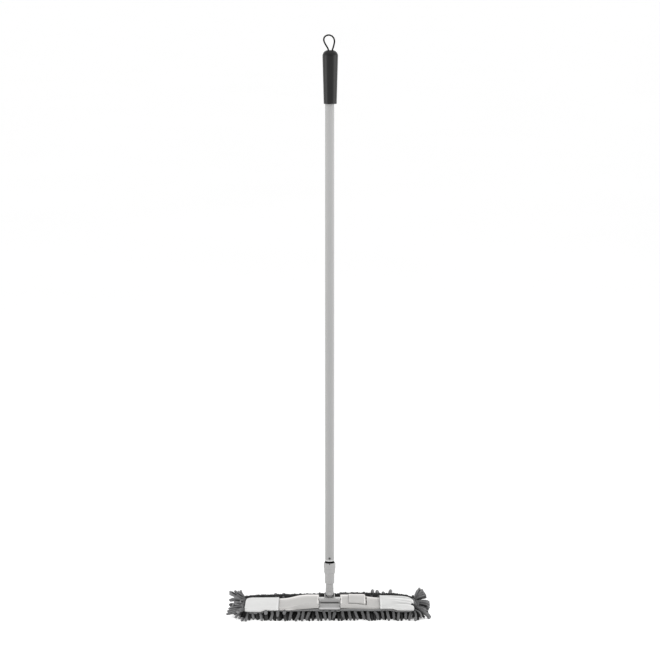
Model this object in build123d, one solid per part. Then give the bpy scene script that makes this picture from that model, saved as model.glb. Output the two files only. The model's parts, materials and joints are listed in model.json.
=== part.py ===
from build123d import *
import math
import os

# Dust mop with chenille fingers on a folding frame, in millimetres.
# +Z is up, +X runs along the head, -Y is the front.
# The origin is on the floor, under the handle.

# Fits
running_clearance = 0.05  # radial, a pin that turns in its hole
seat_clearance = 0.02     # radial, a pin or plug that stays put
part_gap = 0.3            # between rigid pieces that pass each other
soft_gap = 0.3            # round cloth

# Pad
pile_height = 17.5
pile_slice = 2.5
backing_thickness = 4.0
backing_length = 420.0
backing_depth = 106.0
backing_corner = 27.0
pad_split = 48.0          # where the wing pads begin, from the middle

# Chenille fingers
finger_width = 6.5
finger_pitch = 11.6       # under the pad
edge_pitch = 11.0         # along the front and back
edge_reach = 11.0         # past the edge of the backing
edge_lean = 2.4
end_pitch = 9.0
end_reach = 44.0          # past the end of the backing
end_rise = 26.0           # how much the highest end finger climbs
back_rise = 16.0          # turned-up fingers at the back, above the pile
end_fingers = 7
corner_fingers = 3

# Wings
wing_inner = 26.8
wing_length = 177.2
wing_depth = 94.0
wing_corner = 25.0
wing_low_height = 6.0
right_wing_swell = 2.4    # the wing with the pedal ends this much thicker
wing_raised_height = 15.9
wing_raised_length = 25.2
wing_curve_length = 72.0
wing_wall = 2.4
wing_edge_radius = 1.6
wing_foot_lift = 5.5      # the bottom edge is this much higher beside the hinge
wing_foot_flat = 9.2
wing_foot_slope = 64.0
wing_rib_width = 2.0
wing_rib_place = 15.0
cover_length = 19.8       # fixed cover of the right wing, up to the pedal

# Wing hinges
hinge_offset = 37.0
hinge_height = 7.2        # above the underside of the wings
hinge_pin_diameter = 5.0
hinge_pin_room = 3.6      # from each end of a pin to the wall of the wing
hinge_boss_radius = 4.5
hinge_ear_width = 10.0
hinge_ear_place = 30.0
hinge_lug_width = 5.0

# Centre bridge
bridge_width = 52.4
bridge_depth = 92.0
bridge_crown = 8.2        # height of its top at the barrel
bridge_crown_depth = 26.0
bridge_lip_low = 1.8
bridge_lip_high = 5.4
bridge_lip_radius = 1.6
bridge_foot_depth = 80.0
bridge_wall = 2.5
bridge_hollow_height = 3.0
bridge_groove = 3.4       # floor of the groove before and behind the barrel
cheek_thickness = 3.7

# Tilt barrel
tilt_height = 11.8        # above the underside of the wings
barrel_radius = 9.5
barrel_room = 0.7         # between the barrel and its trough
axle_diameter = 5.0
saddle_width = 25.0
saddle_depth = 13.0
saddle_height = 16.8
saddle_hollow = 1.2       # between the saddle and the round end of the fork
tongue_thickness = 7.0
tongue_radius = 6.4

# Swivel socket
swivel_height = 20.4      # above the barrel's axle
swivel_pin_diameter = 5.0
swivel_pin_length = 17.0
fork_gap = 0.2
fork_depth = 17.0
fork_shoulder = 3.0       # above the slot
fork_chamfer = 1.6
fork_end_width = 6.4      # the fork tapers to this below the pin
stem_diameter = 19.4      # at the fork
stem_top_diameter = 18.1
stem_length = 25.7
neck_diameter = 23.1
neck_length = 20.3
neck_taper = 9.0
collar_foot_diameter = 27.3
collar_diameter = 28.7
collar_length = 22.0
collar_band_height = 13.0  # the wider part, from the top
collar_edge_radius = 1.8
collar_notch_width = 2.4
collar_notch_height = 3.2
collar_notch_depth = 1.6

# Handle
tube_diameter = 22.0
tube_wall = 0.8
tube_length = 1200.0
plug_ring_diameter = 22.8
plug_ring_height = 5.0
plug_spigot_length = 40.0
plug_clearance = 0.15     # radial, held by the rivets
plug_stub_diameter = 18.0
plug_stub_length = 28.0
plug_chamfer = 1.0
rivet_height = 7.7        # above the foot of the tube
rivet_diameter = 3.2
rivet_length = 6.0
rivet_head_diameter = 5.6
rivet_head = 0.8
grip_length = 128.5
grip_foot_diameter = 31.4
grip_top_diameter = 38.3
grip_offset = 1.5         # the grip stands this much to the right of the tube
grip_shoulder_radius = 14.2
grip_foot_radius = 0.6
grip_overlap = 73.0
grip_cap = 6.0            # thickness at the top of the grip
knot_diameter = 15.0
knot_height = 9.0
knot_room = 1.0
knot_chamfer = 2.0

# Hanging cord, as x and height above the grip
cord_diameter = 4.0
cord_hole_clearance = 0.3
cord_offset = 2.0         # the cord stands this much to the right of the tube
cord_spacing = 8.8
cord_points = [
    (-2.4, 1.5),
    (-7.9, 10.2),
    (-12.7, 18.6),
    (-14.6, 25.6),
    (-11.4, 33.0),
    (-3.6, 36.3),
    (4.6, 34.6),
    (10.3, 28.6),
    (12.1, 20.4),
    (10.4, 12.6),
    (8.6, 5.6),
    (6.4, 0.5),
]
cord_run_share = 0.45

# Pedal
pedal_length = 41.0
pedal_depth = 82.0
pedal_corner = 8.0
pedal_thickness = 2.6
pedal_skirt = 2.5
pedal_rise = 2.4          # the pedal stands this much above the cover
pedal_end_lift = 6.8      # underside of the free end, above the low part of the wing
pedal_gap = 0.8
pedal_end_gap = 3.8       # past the free end
pedal_nose_radius = 2.4
pedal_pivot_offset = 4.3
pedal_hub_radius = 3.3
pedal_hub_width = 5.0
pedal_lug_width = 4.0
pedal_lug_place = 32.0
pedal_pin_diameter = 4.0
pedal_foot_gap = 0.4

# Leaf springs and the catches on the bridge
leaf_thickness = 0.6
leaf_width = 10.0
leaf_nose_place = 30.5
leaf_nose_drop = 2.4
leaf_height = 10.3        # underside of the leaf, above the underside of the wings
leaf_anchor_place = 60.0
leaf_anchor_length = 10.0
leaf_anchor_width = 12.0
click_anchor_place = 52.0
catch_place = 32.0
catch_thickness = 2.0
catch_width = 14.0
catch_bar_low = 3.7
catch_bar_high = 6.4
catch_height = 9.4
screw_diameter = 3.0
screw_length = 4.0
screw_head_diameter = 5.6
screw_head = 1.6
pedal_leaf_foot = 7.0
pedal_leaf_run = 10.5
pedal_leaf_place = 66.0
pedal_leaf_thickness = 0.6

# Pockets
pocket_inner = 124.5
pocket_margin = 0.6       # from the edge of the backing
pocket_cloth = 1.5
pocket_edge_radius = 5.0

# Heights and places that follow from the sizes above
backing_foot = pile_height
backing_top = backing_foot + backing_thickness
wing_foot = backing_top + soft_gap
wing_low_top = wing_foot + wing_low_height
wing_raised_top = wing_foot + wing_raised_height
wing_outer = wing_inner + wing_length
hinge_z = wing_foot + hinge_height
hinge_pin_length = wing_depth - 2 * (wing_wall + hinge_pin_room)
tilt_z = wing_foot + tilt_height
swivel_z = tilt_z + swivel_height
stem_top = swivel_z + stem_length
neck_top = stem_top + neck_length
collar_foot = neck_top + neck_taper
collar_top = collar_foot + collar_length
tube_foot = collar_top + plug_ring_height
tube_top = tube_foot + tube_length
tube_bore = tube_diameter - 2 * tube_wall
grip_foot = tube_top - grip_overlap
grip_top = grip_foot + grip_length
knot_top = grip_top - grip_cap
cover_end = wing_inner + cover_length
pedal_inner = cover_end + pedal_gap
pedal_outer = pedal_inner + pedal_length
pedal_top = wing_raised_top + pedal_rise
pedal_under = pedal_top - pedal_thickness
pedal_pivot_x = pedal_inner + pedal_pivot_offset
pedal_pivot_z = wing_low_top + pedal_foot_gap + pedal_hub_radius
leaf_z = wing_foot + leaf_height
cheek_outer = bridge_width / 2
cheek_inner = cheek_outer - cheek_thickness
pocket_outer = backing_length / 2 - pocket_margin
pocket_depth = backing_depth - 2 * pocket_margin
pocket_corner = backing_corner - pocket_margin


def bar_along_y(x, z, radius, y_from, y_to):
    # Round bar parallel to Y.
    section = Plane((x, y_from, z), x_dir=(1, 0, 0), z_dir=(0, 1, 0)) * Circle(radius)
    return extrude(section, amount=y_to - y_from)


def bar_along_x(z, radius, half_length):
    # Round bar parallel to X, centred on the handle.
    return extrude(Plane.YZ * (Pos(0, z) * Circle(radius)), amount=half_length, both=True)


def block(x_from, x_to, y_from, y_to, z_from, z_to):
    size = (x_to - x_from, y_to - y_from, z_to - z_from)
    middle = ((x_from + x_to) / 2, (y_from + y_to) / 2, (z_from + z_to) / 2)
    return Pos(*middle) * Box(*size)


def side_profile(points, half_depth):
    # Outline in X and Z, run through the depth of the head.
    return extrude(Plane.XZ * make_face(Polyline(*points, close=True)), amount=half_depth, both=True)


def end_outline(x_from, x_to, half_depth, corner, z_from, z_to):
    # Plan shape that is square at the middle of the mop and rounded at its end.
    plan = make_face(Polyline(
        (x_from, -half_depth),
        (x_to, -half_depth),
        (x_to, half_depth),
        (x_from, half_depth),
        close=True,
    ))
    plan = fillet(plan.vertices().group_by(Axis.X)[-1], corner)
    return extrude(Pos(0, 0, z_from) * plan, amount=z_to - z_from)


def make_handle_tube():
    wall = Circle(tube_diameter / 2) - Circle(tube_bore / 2)
    tube = extrude(Pos(0, 0, tube_foot) * wall, amount=tube_length)
    hole_radius = rivet_diameter / 2 + seat_clearance
    hole = bar_along_y(0, tube_foot + rivet_height, hole_radius, -tube_diameter, tube_diameter)
    return tube - hole


def make_thread_plug():
    ring = extrude(Pos(0, 0, collar_top) * Circle(plug_ring_diameter / 2), amount=plug_ring_height)
    spigot_radius = tube_bore / 2 - plug_clearance
    spigot = extrude(Pos(0, 0, tube_foot) * Circle(spigot_radius), amount=plug_spigot_length)
    spigot = chamfer(spigot.edges().group_by(Axis.Z)[-1], plug_chamfer)
    stub_foot = collar_top - plug_stub_length
    stub = extrude(Pos(0, 0, stub_foot) * Circle(plug_stub_diameter / 2), amount=plug_stub_length)
    stub = chamfer(stub.edges().group_by(Axis.Z)[0], plug_chamfer)
    plug = ring + spigot + stub
    hole_radius = rivet_diameter / 2 + seat_clearance
    hole = bar_along_y(0, tube_foot + rivet_height, hole_radius, -tube_diameter, tube_diameter)
    return plug - hole


def make_plug_rivets():
    # One blind rivet at the front and one at the back.
    outside = tube_diameter / 2
    height = tube_foot + rivet_height
    shank = bar_along_y(0, height, rivet_diameter / 2, outside - rivet_length, outside)
    head = bar_along_y(0, height, rivet_head_diameter / 2, outside, outside + rivet_head)
    head = chamfer(head.edges().group_by(Axis.Y)[-1], rivet_head / 2)
    saddle = extrude(Pos(0, 0, tube_foot) * Circle(outside), amount=2 * rivet_height)
    rivet = shank + (head - saddle)
    return Part(children=[rivet, mirror(rivet, about=Plane.XZ)])


def make_handle_grip():
    foot_radius = grip_foot_diameter / 2
    top_radius = grip_top_diameter / 2
    outline = make_face(Polyline(
        (0, grip_foot),
        (foot_radius, grip_foot),
        (top_radius, grip_top),
        (0, grip_top),
        close=True,
    ))
    shoulder = outline.vertices().sort_by_distance((top_radius, grip_top))[0]
    outline = fillet(shoulder, grip_shoulder_radius)
    foot_edge = outline.vertices().sort_by_distance((foot_radius, grip_foot))[0]
    outline = fillet(foot_edge, grip_foot_radius)
    grip = Pos(grip_offset, 0, 0) * revolve(Plane.XZ * outline, axis=Axis.Z)
    bore = Circle(tube_diameter / 2 + seat_clearance)
    grip -= extrude(Pos(0, 0, grip_foot) * bore, amount=grip_overlap)
    knot_space = Circle(knot_diameter / 2 + knot_room)
    grip -= extrude(Pos(cord_offset, 0, tube_top) * knot_space, amount=knot_top - tube_top)
    cord_hole = Circle(cord_diameter / 2 + cord_hole_clearance)
    for side in (-1, 1):
        place = Pos(cord_offset + side * cord_spacing / 2, 0, knot_top)
        grip -= extrude(place * cord_hole, amount=2 * grip_cap)
    return grip


def make_loop_knot():
    knot = extrude(Pos(cord_offset, 0, knot_top - knot_height) * Circle(knot_diameter / 2), amount=knot_height)
    lower = knot.edges().group_by(Axis.Z)[0]
    return chamfer(lower, knot_chamfer)


def cord_route():
    # The cord starts and ends on the knot and stands up through the two holes.
    start = Vector(cord_offset - cord_spacing / 2, 0, knot_top)
    finish = Vector(cord_offset + cord_spacing / 2, 0, knot_top)
    middle = [Vector(x, 0, grip_top + height) for x, height in cord_points]
    return [start, *middle, finish]


def cord_radii(route):
    radii = []
    for before, corner, after in zip(route, route[1:], route[2:]):
        run_in = corner - before
        run_out = after - corner
        half_turn = math.radians(run_in.get_angle(run_out)) / 2
        shorter = min(run_in.length, run_out.length)
        radii.append(cord_run_share * shorter / math.tan(half_turn))
    return radii


def make_hang_loop():
    route = cord_route()
    radii = cord_radii(route)
    print("cord radii", [round(radius, 1) for radius in radii])
    path = FilletPolyline(*route, radius=radii)
    section = Plane(route[0], z_dir=path % 0) * Circle(cord_diameter / 2)
    cord = sweep(section, path=path)
    expected = math.pi * (cord_diameter / 2) ** 2 * path.length
    print("cord length", round(path.length, 1), "volume ratio", round(cord.volume / expected, 4))
    return cord


def make_swivel_socket():
    # The collar narrows to the neck in an S.
    neck_end = (neck_diameter / 2, neck_top)
    collar_end = (collar_foot_diameter / 2, collar_foot)
    middle = ((neck_end[0] + collar_end[0]) / 2, (neck_end[1] + collar_end[1]) / 2)
    opening = TangentArc(neck_end, middle, tangent=(0, 1))
    closing = TangentArc(middle, collar_end, tangent=opening % 1)
    band_foot = collar_top - collar_band_height
    outline = make_face([
        Polyline(
            (0, collar_top),
            (0, swivel_z - stem_diameter),
            (stem_diameter / 2, swivel_z - stem_diameter),
            (stem_diameter / 2, swivel_z),
            (stem_top_diameter / 2, stem_top),
            (neck_diameter / 2, stem_top),
            neck_end,
        ),
        opening,
        closing,
        Polyline(
            collar_end,
            (collar_foot_diameter / 2, band_foot),
            (collar_diameter / 2, band_foot),
            (collar_diameter / 2, collar_top),
            (0, collar_top),
        ),
    ])
    top_edge = outline.vertices().sort_by_distance((collar_diameter / 2, collar_top))[0]
    outline = fillet(top_edge, collar_edge_radius)
    socket = revolve(Plane.XZ * outline, axis=Axis.Z)
    notch_half = collar_notch_width / 2
    socket -= block(-notch_half, notch_half, -collar_diameter, collar_notch_depth - collar_diameter / 2,
                    collar_top - collar_notch_height, collar_top)
    bore_radius = plug_stub_diameter / 2 + seat_clearance
    bore_foot = collar_top - plug_stub_length - part_gap
    socket -= extrude(Pos(0, 0, bore_foot) * Circle(bore_radius), amount=collar_top - bore_foot)

    # The fork: square in section, tapered below the swivel pin, slotted for the tongue.
    slot_half = tongue_thickness / 2 + fork_gap
    slot_top = swivel_z + tongue_radius + saddle_hollow
    half_width = stem_diameter / 2
    half_depth = fork_depth / 2
    fork = block(-half_width, half_width, -half_depth, half_depth, swivel_z, slot_top + fork_shoulder)
    fork = chamfer(fork.edges().group_by(Axis.Z)[-1], fork_chamfer)
    end_half = fork_end_width / 2
    fork_end = side_profile([
        (-half_width, swivel_z),
        (half_width, swivel_z),
        (end_half, swivel_z - half_width),
        (-end_half, swivel_z - half_width),
    ], half_depth)
    fork += fork_end & bar_along_y(0, swivel_z, half_width, -half_depth, half_depth)
    socket -= block(-collar_diameter, collar_diameter, -collar_diameter, collar_diameter,
                    swivel_z - collar_diameter, slot_top)
    socket += fork
    socket -= block(-stem_diameter, stem_diameter, -slot_half, slot_half, swivel_z - stem_diameter, slot_top)
    pin_hole = swivel_pin_diameter / 2 + seat_clearance
    return socket - bar_along_y(0, swivel_z, pin_hole, -stem_diameter, stem_diameter)


def make_swivel_pin():
    half = swivel_pin_length / 2
    return bar_along_y(0, swivel_z, swivel_pin_diameter / 2, -half, half)


def make_tilt_barrel():
    half_length = cheek_inner - part_gap
    barrel = bar_along_x(tilt_z, barrel_radius, half_length)
    half_width = saddle_width / 2
    half_depth = saddle_depth / 2
    saddle = block(-half_width, half_width, -half_depth, half_depth, tilt_z, tilt_z + saddle_height)
    # Square slot for the fork, which leaves two thin lugs.
    slot_half = stem_diameter / 2 + saddle_hollow
    hollow = block(-slot_half, slot_half, -saddle_depth, saddle_depth, swivel_z - slot_half, swivel_z)
    half_tongue = tongue_thickness / 2
    tongue = block(-tongue_radius, tongue_radius, -half_tongue, half_tongue, tilt_z, swivel_z)
    tongue += bar_along_y(0, swivel_z, tongue_radius, -half_tongue, half_tongue)
    barrel += (saddle - hollow) + tongue
    barrel -= bar_along_x(tilt_z, axle_diameter / 2 + running_clearance, bridge_width)
    pin_hole = swivel_pin_diameter / 2 + running_clearance
    return barrel - bar_along_y(0, swivel_z, pin_hole, -saddle_depth, saddle_depth)


def make_tilt_axle():
    return bar_along_x(tilt_z, axle_diameter / 2, cheek_outer)


def make_centre_bridge():
    half_depth = bridge_depth / 2
    half_foot = bridge_foot_depth / 2
    half_crown = bridge_crown_depth / 2
    outline = make_face(Polyline(
        (-half_foot, wing_foot),
        (half_foot, wing_foot),
        (half_depth, wing_foot + bridge_lip_low),
        (half_depth, wing_foot + bridge_lip_high),
        (half_crown, wing_foot + bridge_crown),
        (-half_crown, wing_foot + bridge_crown),
        (-half_depth, wing_foot + bridge_lip_high),
        (-half_depth, wing_foot + bridge_lip_low),
        close=True,
    ))
    for side in (-1, 1):
        corner = (side * half_depth, wing_foot + bridge_lip_high)
        outline = fillet(outline.vertices().sort_by_distance(corner)[0], bridge_lip_radius)
    bridge = extrude(Plane.YZ * outline, amount=cheek_outer, both=True)
    cheeks = extrude(
        Plane.YZ * (Pos(0, tilt_z) * Circle(barrel_radius)), amount=cheek_outer, both=True
    )
    post_half = barrel_radius
    cheeks += block(-cheek_outer, cheek_outer, -post_half, post_half, wing_foot, tilt_z)
    bridge += cheeks
    bridge -= bar_along_x(tilt_z, barrel_radius + barrel_room, cheek_inner)
    bridge -= block(-cheek_inner, cheek_inner, -half_crown, half_crown,
                    wing_foot + bridge_groove, tilt_z + barrel_radius)
    for side in (-1, 1):
        near, far = sorted((side * post_half, side * half_crown))
        bridge -= block(-cheek_outer, cheek_outer, near, far, wing_foot + bridge_groove, tilt_z)

    # Hollows under the front and back plates.
    hollow_half = cheek_outer - bridge_wall
    hollow_top = wing_foot + bridge_hollow_height
    for side in (-1, 1):
        near, far = sorted((side * (half_crown + bridge_wall), side * (half_foot - bridge_wall)))
        bridge -= block(-hollow_half, hollow_half, near, far, wing_foot, hollow_top)

    for side in (-1, 1):
        bridge += make_hinge_ears(side) + make_catch(side)
    pin_hole = hinge_pin_diameter / 2 + seat_clearance
    for side in (-1, 1):
        bridge -= bar_along_y(side * hinge_offset, hinge_z, pin_hole, -bridge_depth, bridge_depth)
    return bridge - bar_along_x(tilt_z, axle_diameter / 2 + seat_clearance, bridge_width)


def make_hinge_ears(side):
    # Two ears that reach out to one wing's hinge pin.
    ears = Part()
    for end in (-1, 1):
        y_from = end * hinge_ear_place - hinge_ear_width / 2
        y_to = y_from + hinge_ear_width
        x_from, x_to = sorted((side * (cheek_outer - bridge_wall), side * hinge_offset))
        # The arm keeps to the height of the bridge so the round end stays the widest part.
        arm = block(x_from, x_to, y_from, y_to, hinge_z - hinge_boss_radius, hinge_z)
        ears += arm + bar_along_y(side * hinge_offset, hinge_z, hinge_boss_radius, y_from, y_to)
    return ears


def make_catch(side):
    # Upstand that the nose of a leaf spring drops behind.
    half = catch_width / 2
    x_from, x_to = sorted((side * (cheek_outer - bridge_wall), side * (catch_place + catch_thickness)))
    bar = block(x_from, x_to, -half, half, wing_foot + catch_bar_low, wing_foot + catch_bar_high)
    up_from, up_to = sorted((side * catch_place, side * (catch_place + catch_thickness)))
    return bar + block(up_from, up_to, -half, half, wing_foot + catch_bar_low, wing_foot + catch_height)


def make_hinge_pin(side):
    half = hinge_pin_length / 2
    return bar_along_y(side * hinge_offset, hinge_z, hinge_pin_diameter / 2, -half, half)


def wing_foot_points(far):
    # Underside of a wing, from its outer end to its raised inner end.
    flat_end = wing_inner + wing_foot_flat
    slope_end = flat_end + wing_foot_slope
    return [
        (far, wing_foot),
        (slope_end, wing_foot),
        (flat_end, wing_foot + wing_foot_lift),
        (wing_inner, wing_foot + wing_foot_lift),
    ]


def curved_top(start_x, high, low, inner, outer, foot):
    # Side outline whose top runs level, falls in an S and runs level again.
    end_x = start_x + wing_curve_length
    middle = ((start_x + end_x) / 2, (high + low) / 2)
    falling = TangentArc((start_x, high), middle, tangent=(1, 0))
    easing = TangentArc(middle, (end_x, low), tangent=falling % 1)
    return make_face([
        Line((inner, high), (start_x, high)),
        falling,
        easing,
        Line((end_x, low), (outer, low)),
        Polyline((outer, low), *foot, (inner, high)),
    ])


def wing_blank(top_profile):
    blank = extrude(Plane.XZ * top_profile, amount=wing_depth / 2, both=True)
    blank &= end_outline(wing_inner, wing_outer, wing_depth / 2, wing_corner, 0, 2 * wing_raised_top)
    return blank


def wing_hollow(hollow_profile):
    hollow = extrude(Plane.XZ * hollow_profile, amount=wing_depth, both=True)
    inside = wing_depth / 2 - wing_wall
    corner = wing_corner - wing_wall
    return hollow & end_outline(wing_inner + wing_wall, wing_outer - wing_wall, inside, corner,
                                0, 2 * wing_raised_top)


def wing_ribs(start_x, low_top):
    ribs = Part()
    for side in (-1, 1):
        middle = side * wing_rib_place
        ribs += block(start_x, wing_outer - wing_wall / 2, middle - wing_rib_width / 2,
                      middle + wing_rib_width / 2, wing_foot, low_top - wing_wall / 2)
    return ribs


def hinge_lugs():
    # Plates under the roof, one each side of both ears of the bridge.
    lugs = Part()
    roof = wing_raised_top - wing_wall / 2
    for end in (-1, 1):
        for beside in (-1, 1):
            middle = end * hinge_ear_place
            middle += beside * (hinge_ear_width / 2 + part_gap + hinge_lug_width / 2)
            y_from = middle - hinge_lug_width / 2
            y_to = middle + hinge_lug_width / 2
            lugs += bar_along_y(hinge_offset, hinge_z, hinge_boss_radius, y_from, y_to)
            lugs += block(hinge_offset - hinge_boss_radius, hinge_offset + hinge_boss_radius,
                          y_from, y_to, hinge_z, roof)
    return lugs


def inner_wall_slots():
    # Slots in the inner end of a wing for the ears and the catch.
    x_from = wing_inner - wing_wall
    x_to = wing_inner + 2 * wing_wall
    slots = Part()
    for end in (-1, 1):
        half = hinge_ear_width / 2 + part_gap
        middle = end * hinge_ear_place
        slots += block(x_from, x_to, middle - half, middle + half, wing_foot,
                       hinge_z + hinge_boss_radius + part_gap)
    half = catch_width / 2 + part_gap
    slots += block(x_from, x_to, -half, half, wing_foot, wing_foot + catch_bar_high + part_gap)
    return slots


def hinge_bore():
    radius = hinge_pin_diameter / 2 + running_clearance
    return bar_along_y(hinge_offset, hinge_z, radius, -wing_depth / 2 + wing_wall, wing_depth / 2 - wing_wall)


def wing_shell(low_top):
    # Moulded shell of either wing, open below.
    curve_start = wing_inner + wing_raised_length
    top = curved_top(curve_start, wing_raised_top, low_top, wing_inner, wing_outer,
                     wing_foot_points(wing_outer))
    blank = wing_blank(top)
    upper = [edge for edge in blank.edges() if edge.center().Z > low_top - part_gap]
    blank = fillet(upper, wing_edge_radius)
    floor = -wing_raised_top
    hollow = curved_top(curve_start - wing_wall / 2, wing_raised_top - wing_wall, low_top - wing_wall,
                        wing_inner, 2 * wing_outer, [(2 * wing_outer, floor), (wing_inner, floor)])
    shell = blank - wing_hollow(hollow)
    shell += wing_ribs(curve_start + wing_curve_length, low_top)
    return blank, shell + hinge_lugs()


def make_left_wing():
    blank, wing = wing_shell(wing_low_top)
    half = leaf_anchor_width / 2
    anchor = block(click_anchor_place - leaf_anchor_length / 2, click_anchor_place + leaf_anchor_length / 2,
                   -half, half, leaf_z + leaf_thickness, wing_raised_top)
    wing += anchor & blank
    wing -= inner_wall_slots()
    wing -= hinge_bore()
    wing -= screw_hole(click_anchor_place)
    return mirror(wing, about=Plane.YZ)


def make_right_wing():
    blank, wing = wing_shell(wing_low_top + right_wing_swell)

    # Tray that the pedal sits in, with a window for the latch.
    tray_half = pedal_depth / 2 + pedal_gap
    tray_end = pedal_outer + pedal_end_gap
    tray = block(cover_end - wing_wall, tray_end + wing_wall, -tray_half - wing_wall, tray_half + wing_wall,
                 wing_low_top - wing_wall, wing_raised_top)
    wing += tray & blank
    wing -= block(cover_end, tray_end, -tray_half, tray_half, wing_low_top, 2 * wing_raised_top)
    window_half = leaf_width / 2 + pedal_gap
    wing -= block(cover_end - 2 * wing_wall, cover_end, -window_half, window_half,
                  leaf_z - pedal_gap, wing_raised_top - wing_wall)
    wing += pedal_lugs()
    wing -= inner_wall_slots()
    wing -= hinge_bore()
    lug_hole = pedal_pin_diameter / 2 + seat_clearance
    wing -= bar_along_y(pedal_pivot_x, pedal_pivot_z, lug_hole, -tray_half, tray_half)
    screw_place = pedal_leaf_place + pedal_leaf_foot / 2
    wing -= upright_bar(screw_place, screw_diameter / 2 + seat_clearance, 0, wing_low_top)
    return wing


def upright_bar(x, radius, z_from, z_to):
    return extrude(Pos(x, 0, z_from) * Circle(radius), amount=z_to - z_from)


def pedal_lugs():
    lugs = Part()
    for end in (-1, 1):
        y_from = end * pedal_lug_place - pedal_lug_width / 2
        y_to = y_from + pedal_lug_width
        lugs += bar_along_y(pedal_pivot_x, pedal_pivot_z, pedal_hub_radius, y_from, y_to)
        lugs += block(pedal_pivot_x - pedal_hub_radius, pedal_pivot_x + pedal_hub_radius, y_from, y_to,
                      wing_low_top - wing_wall / 2, pedal_pivot_z)
    return lugs


def make_release_pedal():
    free_under = wing_low_top + pedal_end_lift
    near_under = pedal_pivot_z - pedal_hub_radius / 2
    shell = side_profile([
        (pedal_inner, pedal_top),
        (pedal_outer, pedal_top),
        (pedal_outer, free_under),
        (pedal_pivot_x, near_under),
        (pedal_inner, near_under),
    ], pedal_depth / 2)
    ends = shell.edges().filter_by(Axis.Y)
    nose = ends.filter_by_position(Axis.X, pedal_outer - part_gap, pedal_outer + part_gap).sort_by(Axis.Z)[-1]
    shell = fillet(nose, pedal_nose_radius)
    shell &= end_outline(pedal_inner, pedal_outer, pedal_depth / 2, pedal_corner, 0, 2 * pedal_top)
    room = pedal_depth / 2 - pedal_skirt
    hollow = end_outline(0, pedal_outer - pedal_skirt, room, pedal_corner - pedal_skirt, 0, pedal_under)
    pedal = shell - hollow
    for end in (-1, 1):
        near = pedal_lug_place + pedal_lug_width / 2 + part_gap
        y_from, y_to = sorted((end * near, end * (near + pedal_hub_width)))
        pedal += bar_along_y(pedal_pivot_x, pedal_pivot_z, pedal_hub_radius, y_from, y_to)
        pedal += block(pedal_pivot_x - pedal_hub_radius, pedal_pivot_x + pedal_hub_radius, y_from, y_to,
                       pedal_pivot_z, pedal_top - pedal_thickness / 2)
    half = leaf_anchor_width / 2
    pedal += block(leaf_anchor_place - leaf_anchor_length / 2, leaf_anchor_place + leaf_anchor_length / 2,
                   -half, half, leaf_z + leaf_thickness, pedal_top - pedal_thickness / 2)
    pin_hole = pedal_pin_diameter / 2 + running_clearance
    pedal -= bar_along_y(pedal_pivot_x, pedal_pivot_z, pin_hole, -room, room)
    return pedal - screw_hole(leaf_anchor_place)


def make_pedal_pins():
    # Each pin runs from its lug to the skirt of the pedal.
    near = pedal_lug_place - pedal_lug_width / 2
    far = pedal_depth / 2 - pedal_skirt
    pin = bar_along_y(pedal_pivot_x, pedal_pivot_z, pedal_pin_diameter / 2, near, far)
    return Part(children=[pin, mirror(pin, about=Plane.XZ)])


def screw_hole(x):
    hole_top = leaf_z + leaf_thickness + screw_length
    return upright_bar(x, screw_diameter / 2 + seat_clearance, leaf_z + leaf_thickness, hole_top)


def make_leaf(anchor_place):
    # Spring strip with a nose turned down behind the catch.
    outer = anchor_place + leaf_anchor_length / 2
    top = leaf_z + leaf_thickness
    leaf = side_profile([
        (leaf_nose_place, top),
        (outer, top),
        (outer, leaf_z),
        (leaf_nose_place + leaf_thickness, leaf_z),
        (leaf_nose_place + leaf_thickness, leaf_z - leaf_nose_drop),
        (leaf_nose_place, leaf_z - leaf_nose_drop),
    ], leaf_width / 2)
    hole = upright_bar(anchor_place, screw_diameter / 2 + seat_clearance, leaf_z, top)
    return leaf - hole


def make_leaf_screw(anchor_place):
    # Pan-headed screw, from below, through the leaf into its anchor.
    shank_top = leaf_z + leaf_thickness + screw_length - part_gap
    shank = upright_bar(anchor_place, screw_diameter / 2, leaf_z, shank_top)
    head = upright_bar(anchor_place, screw_head_diameter / 2, leaf_z - screw_head, leaf_z)
    return shank + chamfer(head.edges().group_by(Axis.Z)[0], screw_head / 3)


def make_pedal_spring():
    # Bent strip that stands on the wing and lifts the pedal.
    foot_end = pedal_leaf_place + pedal_leaf_foot
    tip = foot_end + pedal_leaf_run
    low = wing_low_top
    spring = side_profile([
        (pedal_leaf_place, low),
        (foot_end, low),
        (tip, pedal_under - 2 * pedal_leaf_thickness),
        (tip, pedal_under - part_gap),
        (foot_end - pedal_leaf_thickness, low + pedal_leaf_thickness),
        (pedal_leaf_place, low + pedal_leaf_thickness),
    ], leaf_width / 2)
    screw_place = pedal_leaf_place + pedal_leaf_foot / 2
    hole = upright_bar(screw_place, screw_diameter / 2 + seat_clearance, low, low + pedal_leaf_thickness)
    return spring - hole


def make_pedal_spring_screw():
    place = pedal_leaf_place + pedal_leaf_foot / 2
    seat = wing_low_top + pedal_leaf_thickness
    shank = upright_bar(place, screw_diameter / 2, wing_low_top - wing_wall, seat)
    head = upright_bar(place, screw_head_diameter / 2, seat, seat + screw_head)
    return shank + chamfer(head.edges().group_by(Axis.Z)[-1], screw_head / 3)


def make_pocket(low_top):
    # Cloth hood over the outer end of a wing, open towards the middle.
    top = low_top + soft_gap + pocket_cloth
    hood = end_outline(pocket_inner, pocket_outer, pocket_depth / 2, pocket_corner, backing_top, top)
    rim = hood.faces().sort_by(Axis.Z)[-1].edges()
    rim = [edge for edge in rim if edge.center().X > pocket_inner + part_gap]
    hood = fillet(rim, pocket_edge_radius)
    room = end_outline(wing_inner, wing_outer + soft_gap, wing_depth / 2 + soft_gap, wing_corner + soft_gap,
                       0, low_top + soft_gap)
    return hood - room


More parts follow.
